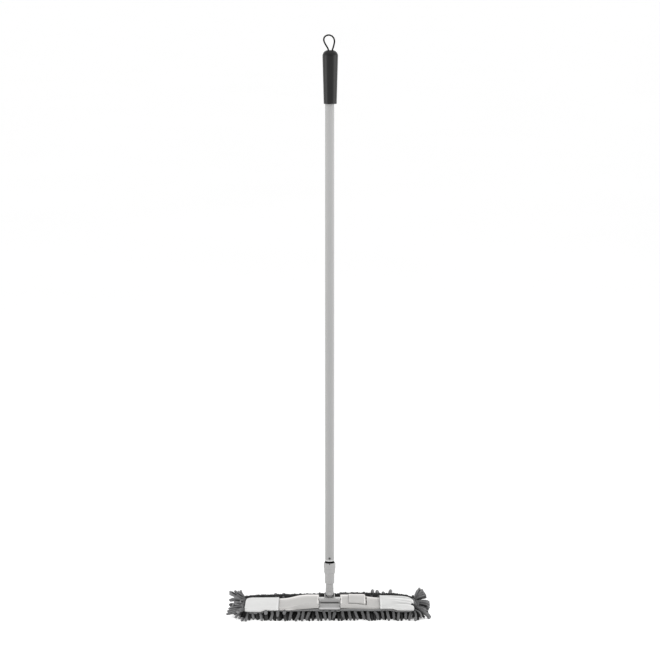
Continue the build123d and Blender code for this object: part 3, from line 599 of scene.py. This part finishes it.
# where a point of the flat cloth comes to lie, and how pale it is there: painted highlights along the back fold
# and the hem, and on the right pocket painted light on the raised folds and painted shade in their hollows
def layPocket(x, y, side, core, turn):
    p, own = pocket, pocket[side]
    reach, base, away = roundPlan(x, y, core)
    past = reach - own["corner"] + p["fold"]
    bent = min(max(past / p["fold"], 0), math.pi / 2)
    drop = max(past - turn, 0)
    spot = base + away * (min(reach, own["corner"] - p["fold"]) + p["fold"] * math.sin(bent))
    top, seam = along(own["height"], spot.x), along(own["seam"], spot.x)
    fall = drop / (p["wall"] - p["fold"]) * (top - p["fold"] - seam)
    spot.z = top - p["fold"] * (1 - math.cos(bent)) - fall
    relief = pocketRelief(x, y, side)
    lift = relief * math.cos(bent) + 0.6 * math.sin(bent) * noise.noise(spot * 0.05)
    hemmed = p["hemRise"] * (1 - smooth(p["hem"] - 1, p["hem"], x - own["mouth"]))
    up = Vector((0, 0, math.cos(bent))) + away * math.sin(bent)
    spot += up * (lift + hemmed)
    # painted highlight: the back fold is palest, where light comes over it
    turned = math.exp(-((bent - 0.5) / 0.4) ** 2) * smooth(-30, 30, spot.y)  # the back edge is palest
    # painted light and shade on the right pocket: paler on the raised folds, darker in their hollows
    plain = 0.5 if side < 0 else 0.42 + 0.35 * relief
    return Vector((spot.x * side, spot.y, spot.z)) * mm, plain + 0.5 * max(turned, 0.6 * hemmed)


def makePocket(side):
    p, own = pocket, pocket[side]
    turn = p["fold"] * math.pi / 2
    flatReach = own["corner"] - p["fold"] + turn + p["wall"] - p["fold"]
    core = {"endX": own["end"] - own["corner"], "sideY": p["depth"] - own["corner"], "square": p["square"]}
    long = core["endX"] + flatReach - own["mouth"]
    wide = 2 * (core["sideY"] + flatReach)
    countX, countY = round(long / p["step"]), round(wide / p["step"])
    rows, shades = [], []
    for i in range(countX + 1):
        x = own["mouth"] + long * i / countX
        laid = [layPocket(x, -wide / 2 + wide * j / countY, side, core, turn) for j in range(countY + 1)]
        rows.append([spot for spot, shade in laid])
        shades += [shade for spot, shade in laid]
    piece = addGrid(own["name"], rows)
    pale = piece.data.attributes.new("pale", "FLOAT", "POINT")
    for k, shade in enumerate(shades):
        pale.data[k].value = shade
    recalculate(piece)
    flipUp(piece)
    cutArea = (long * wide - 2 * (1 - math.pi / 4) * flatReach ** 2) * mm * mm
    applyModifier(piece, "SOLIDIFY", thickness=p["cloth"] * mm, offset=0.0)
    bpy.ops.object.shade_smooth()
    dress(piece, cloths["pocket"])
    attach(piece, own["body"])
    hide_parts(own["node"])
    long * mm
    wide * mm
    print(own["name"], "made, flat", round(long, 1), "x", round(wide, 1))


def flipUp(piece):
    top = max(piece.data.polygons, key=lambda f: f.center.z)
    if top.normal.z < 0:
        piece.data.flip_normals()


# pad: the cloth body that carries the fingers, with a soft rolled edge
pad = {
    "end": 209.2, "depth": 52.6, "corner": 26.8, "square": 0.75, "bottom": 17.6, "top": 21.3, "belly": 20.4,
    "rollWide": 9, "rollRound": 3, "tuckWide": 11, "bellyRise": 0.35, "stepX": 4.0, "stepsY": 6, "merge": 0.00002,
    "edges": [0, 6, 12, 17, 20, 22, 23.6, 24.8, 25.7, 26.3, 26.7, 26.8],
    "rise": {-1: [(24, 0), (27.5, 4.6), (45, 4.0), (80, 2.6), (106, 0.2), (119, 0.2), (125, 2.6), (160, 2.2),
                  (172, 0)],
             1: [(24, 0), (27.5, 5.2), (60, 5.6), (78, 5.0), (105, 3.6), (119, 3.8), (125, 7.0), (155, 7.0),
                 (166, 3.0), (210, 2.0)]},
    "sag": {-1: [(158, 0), (166, 6.0), (192, 7.0), (204, 5.0), (210, 3.0)],
            1: [(150, 0), (165, 2.5), (200, 2.5), (210, 1.0)]},
}


def padHeight(x, reach, upper, side):
    p = pad
    roll = smooth(p["corner"] - p["rollWide"], p["corner"] - p["rollRound"], reach)
    rise = along(p["rise"][side], x) * roll
    crown = p["top"] + rise
    middle = p["belly"] + rise * p["bellyRise"] - along(p["sag"][side], x) * roll
    if upper:
        over = (reach - p["corner"] + p["rollRound"]) / p["rollRound"]
        return middle + (crown - middle) * math.sqrt(max(1 - max(over, 0) ** 2, 0))
    tuck = smooth(p["corner"] - p["tuckWide"], p["corner"], reach)
    return p["bottom"] + (middle - p["bottom"]) * tuck


def makeHalfPad(side):
    p = pad
    endX, sideY = p["end"] - p["corner"], p["depth"] - p["corner"]
    core = {"endX": endX, "sideY": sideY, "square": p["square"]}
    stepsX, stepsY = round(endX / p["stepX"]), p["stepsY"]
    alongX = [endX * i / stepsX for i in range(stepsX)] + [endX + e for e in p["edges"]]
    acrossY = [-sideY - e for e in reversed(p["edges"])]
    acrossY += [sideY * k / stepsY for k in range(1 - stepsY, stepsY)]
    acrossY += [sideY + e for e in p["edges"]]
    halves = []
    for upper in (True, False):
        rows = []
        for x in alongX:
            row = []
            for y in acrossY:
                reach, base, away = roundPlan(x, y, core)
                spot = base + away * reach
                row.append(Vector((spot.x * side, spot.y, padHeight(x, reach, upper, side))) * mm)
            rows.append(row)
        halves.append(addGrid("padHalf", rows))
    piece = joinAll(halves)
    piece.name = "leftPadCloth" if side < 0 else "rightPadCloth"
    recalculate(piece, p["merge"])
    dress(piece, cloths["pad"])
    bendAcross(piece)
    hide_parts(*(["left_backing", "centre_backing"] if side < 0 else ["right_backing"]))
    print(piece.name, "made")


# fingers: chenille strands with blunt round ends, modelled once and bent into place
pile = {
    "sides": 8, "thick": 3.7, "lump": 0.13, "streak": 0.22, "cap": 0.9, "capMost": 0.3, "shadeSpan": (0.1, 0.75),
    "rings": [(0.0, 0.8), (0.12, 1.0), (0.27, 0.93), (0.42, 1.03), (0.57, 0.94), (0.72, 1.0), (0.9, 0.97),
              (0.95, 0.86), (0.985, 0.52)],
    "skew": (0.31, 0.83, 0.46), "seed": {-1: 11, 1: 23},
}


def modelFinger():
    deselectAll()
    bpy.ops.mesh.primitive_circle_add(vertices=pile["sides"], radius=pile["rings"][0][1], fill_type="NGON")
    model = bpy.context.object
    bpy.ops.object.mode_set(mode="EDIT")
    bpy.ops.mesh.select_all(action="SELECT")
    for (low, wide), (high, nextWide) in zip(pile["rings"], pile["rings"][1:]):
        bpy.ops.mesh.extrude_region_move(TRANSFORM_OT_translate={"value": (0, 0, high - low)})
        grow = nextWide / wide
        bpy.ops.transform.resize(value=(grow, grow, 1), center_override=(0, 0, high))
    bpy.ops.mesh.poke()
    bpy.ops.mesh.select_all(action="SELECT")
    bpy.ops.mesh.normals_make_consistent(inside=False)
    bpy.ops.object.mode_set(mode="OBJECT")
    tip = max(model.data.vertices, key=lambda v: v.co.z)
    tip.co.z = 1.0
    model.name = "fingerModel"
    return model


def bendFinger(model, plan, rng):
    copy = addObject("fingerCopy", model.data.copy())
    root, knee, tip = (Vector(plan[k]) for k in ("root", "knee", "tip"))
    low, high = plan["shade"]
    thick = pile["thick"] * plan["thick"]
    spin = rng.uniform(0, math.pi)
    streaks = [1 + rng.uniform(-1, 1) * pile["streak"] for _ in range(pile["sides"])]
    shades = copy.data.attributes.new("shade", "FLOAT", "POINT")
    length = (knee - root).length + (tip - knee).length
    cap, capShare = pile["cap"], min(thick / length, pile["capMost"])
    for v in copy.data.vertices:
        t = v.co.z / cap * (1 - capShare)
        if v.co.z > cap:
            t = 1 - (1 - v.co.z) / (1 - cap) * capShare
        at = root * (1 - t) ** 2 + knee * 2 * t * (1 - t) + tip * t * t
        ahead = ((knee - root) * (1 - t) + (tip - knee) * t).normalized()
        side = ahead.cross(Vector(pile["skew"])).normalized()
        up = ahead.cross(side)
        line = round(math.atan2(v.co.y, v.co.x) / (2 * math.pi) * pile["sides"]) % pile["sides"]
        # painted shade: darker at the root, paler towards the tip
        shades.data[v.index].value = (low + (high - low) * smooth(*pile["shadeSpan"], t)) * streaks[line]
        wide = thick * (1 + rng.uniform(-1, 1) * pile["lump"])
        a = v.co.x * math.cos(spin) - v.co.y * math.sin(spin)
        b = v.co.x * math.sin(spin) + v.co.y * math.cos(spin)
        v.co = (at + (side * a + up * b) * wide) * mm
        v.co.z = max(v.co.z, 0.0)
    return copy


# the plan of one finger: where it starts, bends and ends, its thickness, its painted shade at the root and at the
# tip
def finger(root, knee, tip, thick, shade):
    return {"root": root, "knee": knee, "tip": tip, "thick": thick, "shade": shade}


# front edge, outwards from the middle: where each finger starts, where its tip is, and how it lies
frontRow = {
    -1: [(15, 9, -66, "hang"), (33, 27, -70, "hang"), (49, 57, -66, "hang"), (64, 68, -72, "hang"),
         (76, 85, -72, "arc"), (94, 98.5, -67, "hang"), (111, 108.5, -72, "knob"), (127.5, 125.5, -68, "short"),
         (143, 146, -68, "arc"), (156.5, 154, -66, "knob"), (169.5, 166, -70, "hang"), (189.5, 187, -58, "hang"),
         (202.5, 203, -63, "hang")],
    1: [(0, 0.5, -67, "hang"), (14.5, 6.5, -62, "hang"), (31, 35, -61, "hang"), (47, 52, -67, "hang"),
        (62, 69.5, -61, "hang"), (78.5, 86.5, -58, "hang"), (93.5, 97, -70, "hang"), (109, 118, -60, "arc"),
        (128.5, 133, -58, "hang"), (141, 146, -69, "hang"), (156.5, 159, -60, "hang"), (170.5, 167.5, -70, "hang"),
        (187, 187.5, -60, "hang"), (200, 195, -67, "hang")],
    # fingers painted dark as shade, in the gaps of the front row
    "dark": {-1: [(22, 20, -69), (41, 41, -68), (52, 49.5, -71), (104, 103, -67), (120, 122.5, -68),
                  (134, 133, -68), (160, 159, -66), (176, 174, -58)],
             1: [(10, 11, -66), (22, 22.5, -69), (28, 30, -69), (58, 61.5, -66), (102, 104, -68), (110, 112, -66),
                 (176, 177, -68)]},
    # stubs stand before a finger, which is then painted dark as shade: height of the knee, place of the tip,
    # thickness
    "stubs": {"knob": (22, -67, 17, 1.15), "short": (20, -65, 9, 1.1)},
    "stubShade": (0.8, 1.2), "hidden": (0.02, 0.35), "deepest": 0.005, "bow": 7,
}


def frontFingers(side, rng):
    made = []
    row, stubs, deepest = frontRow[side], frontRow["stubs"], frontRow["deepest"]
    for x, foot, far, lie in row:
        light = 1 + 0.4 * smooth(90, 130, x) * (side < 0)  # the left half gets lighter outwards
        inward = 5 * smooth(188, 212, x)  # follows the round corner of the pad
        low = along(pad["sag"][side], x)
        if lie in stubs:
            kneeZ, tipY, tipZ, thick = stubs[lie]
            root, knee, tip = (x, -50 + inward, 21), (x, -60 + inward, kneeZ), (x, tipY + inward, tipZ)
            made.append(finger(root, knee, tip, thick, frontRow["stubShade"]))
        bow = frontRow["bow"] * side if lie == "arc" else 0
        root = (x, -49 + inward, 20.5 - low)
        knee = (x + (foot - x) * 0.4 + bow, -61 + inward, 16 - low * 0.6)
        shade = frontRow["hidden"] if lie in stubs else (0.6 * light, 0.8 * light)
        made.append(finger(root, knee, (foot, far, 1), rng.uniform(0.92, 1.04), shade))
    # dark fingers in the gaps, then a row behind them, all painted dark as shade
    for here, after in zip(row, row[1:]):
        middle = (here[0] + after[0]) / 2
        foot = (here[1] + after[1]) / 2 + rng.uniform(-2.5, 2.5)
        tip = (foot, rng.choice((-64, -61, -53)), 1)
        shade = (deepest, rng.choice((0.04, 0.04, 0.25)))
        low = along(pad["sag"][side], middle)
        made.append(finger((middle, -45, 19 - low * 0.5), (middle, -50, 12), tip, 0.95, shade))
    for x, foot, far in frontRow["dark"][side]:
        made.append(finger((x, -46, 18), (x, -57, 11), (foot, far, 1), 0.85, (deepest, 0.18)))
    x = 2
    while x < 200:
        lean = rng.uniform(-5, 5)
        tip = (x + lean, rng.uniform(-44, -39), 0.5)
        made.append(finger((x, -43, 18.5), (x + lean * 0.4, -46, 12), tip, 1.0, (deepest, 0.03)))
        x += rng.uniform(8.5, 11)
    return made


# back edge: a close row turned up behind the frame, painted dark as shade, with tips painted paler here and there
# where light falls on them, and one row that hangs
backRow = {
    "pitch": 3.7, "tipPitch": 15.0, "paleSpan": (26, 60),
    -1: {"top": [(0, 38.6), (25, 38.6), (36, 37.6), (60, 37.2), (75, 36.5), (125, 36.0), (165, 34.6), (188, 33.8),
                 (210, 33)],
         "tips": [(113.5, 37.4, 2), (136, 37.0, -2)]},
    1: {"top": [(0, 38), (20, 38), (30, 40.2), (92, 40.2), (125, 39.4), (160, 38.5), (194, 33.8), (206, 30.5)],
        "tips": [(108.5, 47.2, -5), (117.5, 45.3, 5), (153.7, 47.2, -5), (134, 41.5, 0)]},
}


def backFingers(side, rng):
    made = []
    own = backRow[side]
    paleFrom, paleTo = backRow["paleSpan"]
    x = 1
    while x < 211:
        rise = along(own["top"], x) + rng.uniform(-0.7, 0.3)
        inward = 6 * smooth(186, 208, x)
        tip = (x + rng.uniform(-1.5, 1.5), 57 - inward, rise)
        # painted shade: dark at the root; the tips paler between 26 and 60 mm from the middle, where light falls
        # on them
        shade = (0.05, 0.8 if paleFrom < x < paleTo else 0.28)
        made.append(finger((x, 50 - inward, 20), (x, 62 - inward, 22), tip, rng.uniform(0.9, 1.0), shade))
        x += backRow["pitch"] * rng.uniform(0.9, 1.1)
    x = 9
    while x < 100:
        rise = along(own["top"], x) + rng.uniform(0.2, 1.2)
        made.append(finger((x, 50, 20), (x, 64, 20), (x + rng.uniform(-2, 2), 60, rise), 0.95, (0.1, 0.7)))
        x += backRow["tipPitch"] * rng.uniform(0.85, 1.15)
    for x, rise, lean in own["tips"]:
        made.append(finger((x + lean, 51, 20), (x + lean, 63, 30), (x, 60, rise), 1.25, (0.5, 1.5)))
    x = 6
    while x < 200:
        lean = rng.uniform(-5, 5)
        inward = 5 * smooth(185, 206, x)
        knee = (x + lean * 0.3, 60 - inward, 15)
        tip = (x + lean, rng.uniform(57, 62) - inward, 0.5)
        made.append(finger((x, 49 - inward, 18.5), knee, tip, rng.uniform(0.95, 1.1), (0.5, 1.0)))
        x += rng.uniform(9, 12)
    return made


# ends: low fingers, painted dark as shade, that fill out each end, by the place of the tip
endTips = {
    -1: [(240, 40, 14), (244, 20, 8), (238, 52, 10), (228, 60, 8), (216, 62, 2), (246, 4, 4), (228, 30, 26),
         (226, 8, 22), (226, -14, 18), (224, -32, 12), (240, -8, 6), (236, -26, 5)],
    1: [(238, 40, 18), (242, 18, 10), (236, 54, 8), (226, 62, 6), (216, 62, 3), (228, 24, 20), (228, 4, 14),
        (226, -18, 10), (222, -34, 8), (236, 30, 22)],
}

# the fingers that fan out over them: root, knee, tip, thickness, shade from root to tip, painted dark where a
# finger stands in shade and pale where light falls on it
endStrays = {
    -1: [((206, 44, 21), (239.5, 51, 41), (250.5, 54, 43), 0.86, (0.8, 1.5)),
         ((206, 40, 21), (242.5, 44.5, 37.5), (250, 47, 40), 0.84, (0.6, 1.2)),
         ((206, 47, 21), (235, 54, 42), (237, 57, 44.5), 0.84, (0.8, 1.5)),
         ((206, 48, 21), (225.5, 57, 39), (230, 58, 43), 0.86, (0.8, 1.45)),
         ((206, 48, 22), (222.5, 60, 38.5), (222, 60, 45.5), 0.66, (0.7, 1.5)),
         ((206, 43, 20), (238.5, 47, 40.5), (243, 51, 41.5), 0.6, (0.08, 0.3)),
         ((206, 46, 20), (228.5, 49.5, 39.5), (232.5, 55, 40), 0.6, (0.08, 0.35)),
         ((206, 27, 21), (230.5, 29.5, 34.5), (237.5, 34, 33), 0.74, (0.8, 1.6)),
         ((206, 34, 21), (226.5, 38, 36), (233, 42, 36), 0.7, (0.6, 1.2)),
         ((206, 18, 21), (238.5, 20, 37.5), (249, 22, 27.5), 1.2, (0.5, 1.1)),
         ((206, 12, 20), (227, 15, 34), (235, 14, 30), 0.58, (0.05, 0.25)),
         ((206, 8, 21), (229, 7, 30.5), (237.5, 10, 28), 0.8, (0.8, 1.5)),
         ((206, 4, 21), (244, 2, 24.5), (248, 0.0, 20.5), 1.45, (0.3, 0.55)),
         ((206, -4, 20), (238.5, -4, 24), (239.5, -4, 20), 0.9, (0.4, 0.8)),
         ((206, 2, 22), (240.5, -3, 36), (241, -8, 20), 0.62, (0.9, 1.7)),
         ((206, -8, 20), (231.5, -7.5, 25), (234, -5, 26.5), 0.74, (0.8, 1.6)),
         ((206, -12, 20), (228.5, -13, 20), (232.5, -10, 23.5), 0.55, (0.05, 0.25)),
         ((206, -18, 20), (229, -17, 16), (234.5, -12, 21), 0.7, (0.7, 1.4)),
         ((206, -12, 20), (241, -15, 23), (250.5, -14, 16.5), 0.74, (0.7, 1.45)),
         ((206, -20, 20), (243.5, -26.5, 18), (253, -27, 13.5), 0.82, (0.7, 1.3)),
         ((206, -25, 20), (243.5, -31.5, 15), (251, -32, 11), 0.66, (0.8, 1.6)),
         ((206, -28, 19), (244, -36, 10.5), (255, -36, 9), 0.86, (0.5, 1.0)),
         ((206, -16, 19), (238, -21.5, 21.5), (246, -21, 14.5), 0.6, (0.06, 0.3)),
         ((206, -32, 19), (233, -38, 16), (239, -40, 11.5), 0.72, (0.5, 1.1)),
         ((204, -42, 20), (225, -55.5, 27), (225.5, -63, 19.5), 1.3, (0.7, 1.4)),
         ((203, -44, 19), (233, -55, 13), (230.5, -54, 4), 0.98, (0.4, 1.1)),
         ((202, -46, 19), (221.5, -60, 11), (222.5, -58, 3), 0.98, (0.4, 1.2)),
         ((201, -47, 19), (216, -69, 4), (214.5, -71, 0.5), 1.0, (0.05, 0.9)),
         ((200, -47, 19), (205.5, -68.5, 6), (206, -72, 0.5), 1.0, (0.3, 1.0)),
         ((204, 42, 25), (221, 4, 27.5), (213, -34, 18.5), 0.66, (0.6, 1.0)),
         ((204, 40, 25), (223.5, 23, 28.5), (218, -14, 21.5), 0.66, (0.8, 1.5)),
         ((203, 46, 26), (217.5, 21, 29.5), (211.5, 0.0, 22), 0.55, (0.3, 0.7)),
         ((204, 36, 25), (227, 26, 32), (221, 0.0, 25.5), 0.7, (0.8, 1.5)),
         ((204, -40, 18), (216.5, -47, 20.5), (217, -50, 17), 0.85, (0.02, 0.05)),
         ((202, -44, 18), (213, -56, 12), (212, -60, 6), 0.95, (0.02, 0.05)),
         ((204, -44, 20), (210, -60, 16), (210.5, -66, 8), 0.9, (0.01, 0.02)),
         ((205, -42, 20), (217, -57, 17), (216.5, -64, 9), 0.85, (0.01, 0.02))],
    1: [((212, 46, 24), (218, 54, 43.5), (226, 58, 51.5), 0.9, (0.8, 1.4)),
        ((212, 46, 24), (227.5, 51.5, 42), (232, 55, 49), 0.9, (0.7, 1.3)),
        ((212, 45, 24), (228.5, 52.5, 40), (234.5, 54, 45), 0.6, (0.6, 1.2)),
        ((212, 45, 24), (231.5, 51.5, 38), (237.5, 52, 41.5), 0.9, (0.7, 1.3)),
        ((212, 44, 24), (233, 48, 34.5), (241.5, 48, 35.5), 0.86, (0.8, 1.4)),
        ((212, 43, 23), (233.5, 44.5, 30.5), (242, 44, 31), 0.8, (0.1, 0.4)),
        ((212, 47, 23), (223.5, 55, 41), (229, 59, 46.5), 0.8, (0.3, 0.6)),
        ((211, 48, 24), (215, 56.5, 39.5), (220.5, 59, 45.5), 0.7, (0.6, 1.2)),
        ((212, 44, 23), (231, 49, 37.5), (239, 50, 38.5), 0.45, (0.05, 0.25)),
        ((207, 20, 24), (243, 20, 33), (246.5, 12, 25), 0.95, (0.6, 1.2)),
        ((207, 14, 22), (243, 11, 29.5), (243.5, 4, 22), 0.8, (0.4, 0.9)),
        ((207, 2, 20), (242, 4, 17.5), (241, -2, 13.5), 0.85, (0.1, 0.4)),
        ((207, 16, 23), (253.5, 14, 32.5), (246, 4, 18.5), 0.76, (0.8, 1.4)),
        ((207, 10, 22), (259.5, 6.5, 26), (241.5, -7, 11), 0.8, (0.6, 1.1)),
        ((207, 6, 20), (237.5, 2.5, 23.5), (239.5, -3, 18), 0.8, (0.02, 0.08)),
        ((207, 12, 21), (237.5, 8, 25.5), (240.5, 4, 20.5), 0.56, (0.8, 1.5)),
        ((207, -4, 20), (240.5, -9.5, 20), (238, -13, 13), 0.76, (0.4, 0.9)),
        ((207, -8, 20), (236.5, -14, 20), (237, -16, 12.5), 0.6, (0.9, 1.5)),
        ((207, 0.0, 20), (250.5, 2, 19), (242, -4, 14), 0.7, (0.4, 0.9)),
        ((207, -14, 20), (239.5, -35, 15), (246.5, -52, 3), 1.4, (0.6, 1.15)),
        ((206, -36, 20), (227, -47, 16.5), (224, -58, 5), 1.05, (0.7, 1.25)),
        ((206, -40, 18), (238.5, -53, 6.5), (231.5, -54, 5), 0.74, (0.02, 0.08)),
        ((207, -10, 18), (248, -16, 12), (242.5, -18, 7.5), 0.66, (0.02, 0.1)),
        ((206, -46, 20), (214.5, -62, 15), (210, -70, 0.5), 1.0, (0.5, 1.1)),
        ((205, -44, 18), (219.5, -60, 8), (216, -65, 2.5), 1.0, (0.01, 0.05)),
        ((208, -32, 20), (231, -40, 15), (201, -29, 34), 1.0, (0.1, 0.3)),
        ((205, -47, 19), (206, -66, 17), (204.5, -66, 8), 0.75, (0.01, 0.02)),
        ((207, -40, 19), (222, -57, 17), (219, -63, 9), 0.8, (0.01, 0.02)),
        ((206, -24, 19), (226, -42, 15.5), (232, -47, 6), 0.7, (0.03, 0.12)),
        ((206, 45, 25), (218, 14.5, 28), (214, -18, 14.5), 0.72, (0.4, 1.0)),
        ((205, 47, 26), (212, 30.5, 31), (211.5, 4, 21), 0.64, (0.7, 1.3)),
        ((207, 44, 26), (223, 21, 30), (218.5, -6, 19.5), 0.68, (0.3, 0.7)),
        ((207, 20, 24), (220, -4, 20), (215.5, -36, 14), 0.68, (0.4, 0.9)),
        ((203, 48, 22), (209, 57, 30), (207.5, 54, 32.5), 0.85, (0.05, 0.2))],
}


def endFingers(side, rng):
    made = []
    for x, y, z in endTips[side]:
        startX, inset = (199, 0.82) if abs(y) > 44 else (205, 0.78)  # those at the corners start further in
        startY, startZ = y * inset, 20 + max(z - 22, 0) * 0.25
        droop = 5 if z < 18 else 1
        kneeX, kneeY = startX + (x - startX) * 0.58, (startY + y) / 2 * 1.02
        knee = (kneeX, kneeY, startZ + (z - startZ) * 0.5 + droop)
        thick = rng.uniform(0.8, 0.95)
        made.append(finger((startX, startY, startZ), knee, (x, y, z), thick, (0.2, rng.uniform(0.3, 0.6))))
    return made + [finger(*stray) for stray in endStrays[side]]


# underside: a field of fingers that stand on the floor, painted dark as shade
def underFingers(side, rng):
    made = []
    y = -36
    while y <= 41:
        x = rng.uniform(3, 8)
        while x < 203:
            lean, sway = rng.uniform(-5, 5), rng.uniform(-5, 5)
            knee, tip = (x + lean * 0.3, y + sway * 0.3, 9), (x + lean, y + sway, 0.5)
            made.append(finger((x, y, 18.2), knee, tip, 1.05, (0.1, 0.3)))
            x += rng.uniform(10.5, 13)
        y += 10.8
    return made


def mirrored(made, side):
    for f in made:
        for key in ("root", "knee", "tip"):
            x, y, z = f[key]
            f[key] = (x * side, y, z)
    return made


def makePile(side, model):
    rng = random.Random(pile["seed"][side])
    planned = []
    for planRow in (frontFingers, backFingers, endFingers, underFingers):
        planned += mirrored(planRow(side, rng), side)
    piece = joinAll([bendFinger(model, plan, rng) for plan in planned])
    piece.name = "leftFingers" if side < 0 else "rightFingers"
    bpy.ops.object.shade_smooth()
    dress(piece, cloths["chenille"])
    bendAcross(piece)
    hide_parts(*(["left_pile", "centre_pile"] if side < 0 else ["right_pile"]))
    print(piece.name, "made,", len(planned), "fingers")


# cloths: how fine the weave is, in radians per metre
weaves = {"pocket": 5200, "pad": 2600}


def makePocketCloth():
    cloth = Finish("pocketCloth", 0.85, Specular_IOR_Level=0.15, Sheen_Weight=0.15)
    x, y = cloth.axes()[:2]
    weave = (x * weaves["pocket"]).sine() * (y * weaves["pocket"]).sine()
    mottle = cloth.spots(30, 4) * 0.1 - 0.05
    shades = ((0.1, (0.5, 0.5, 0.495)), (0.5, (0.74, 0.74, 0.732)), (1.0, (0.96, 0.96, 0.955)))
    # the pale attribute carries the painted highlights and painted fold shade of the pockets
    cloth.feed("Base Color", cloth.ramp(cloth.attribute("pale") + mottle, *shades))
    cloth.bump(weave + cloth.spots(500, 2), 0.0001, 0.3)
    return cloth.material


def makePadCloth():
    cloth = Finish("padCloth", 0.9, Specular_IOR_Level=0.1, Sheen_Weight=0.2)
    x, y, z = cloth.axes()
    weave = (x * weaves["pad"]).sine() * (y * weaves["pad"] + z * weaves["pad"]).sine()
    cloth.feed("Base Color", cloth.ramp(cloth.spots(40, 4), (0.3, 0.19), (0.7, 0.24)))
    cloth.bump(weave + cloth.spots(300, 2), 0.0003, 0.5)
    return cloth.material


def makeChenille():
    yarn = Finish("chenilleYarn", 0.95, Specular_IOR_Level=0.05, Sheen_Weight=0.06, Sheen_Roughness=0.6)
    fuzz = yarn.spots(420, 3, rough=0.65)
    tufts = yarn.ramp(fuzz, (0.25, 0.45), (0.75, 1.0))
    # painted shade: darker between the strands, where shade falls
    hollow = yarn.ramp(yarn.open(0.004), (0.3, 0.25), (0.85, 1.0))  # darker between the strands
    # the shade attribute of the fingers brings in their painted shade and light
    pale = tufts * yarn.attribute("shade") * hollow * 0.5
    yarn.feed("Base Color", yarn.mix(pale, (0.002, 0.002, 0.002), (0.47, 0.47, 0.477)))
    yarn.bump(fuzz, 0.0012, 0.7)
    return yarn.material


deselectAll()
makeCamera()
makeStudio()
dressFrame()
makeLoop()
cloths = {"pocket": makePocketCloth(), "pad": makePadCloth(), "chenille": makeChenille()}
fingerModel = modelFinger()
for side in (-1, 1):
    makePocket(side)
    makeHalfPad(side)
    makePile(side, fingerModel)
bpy.data.objects.remove(fingerModel)
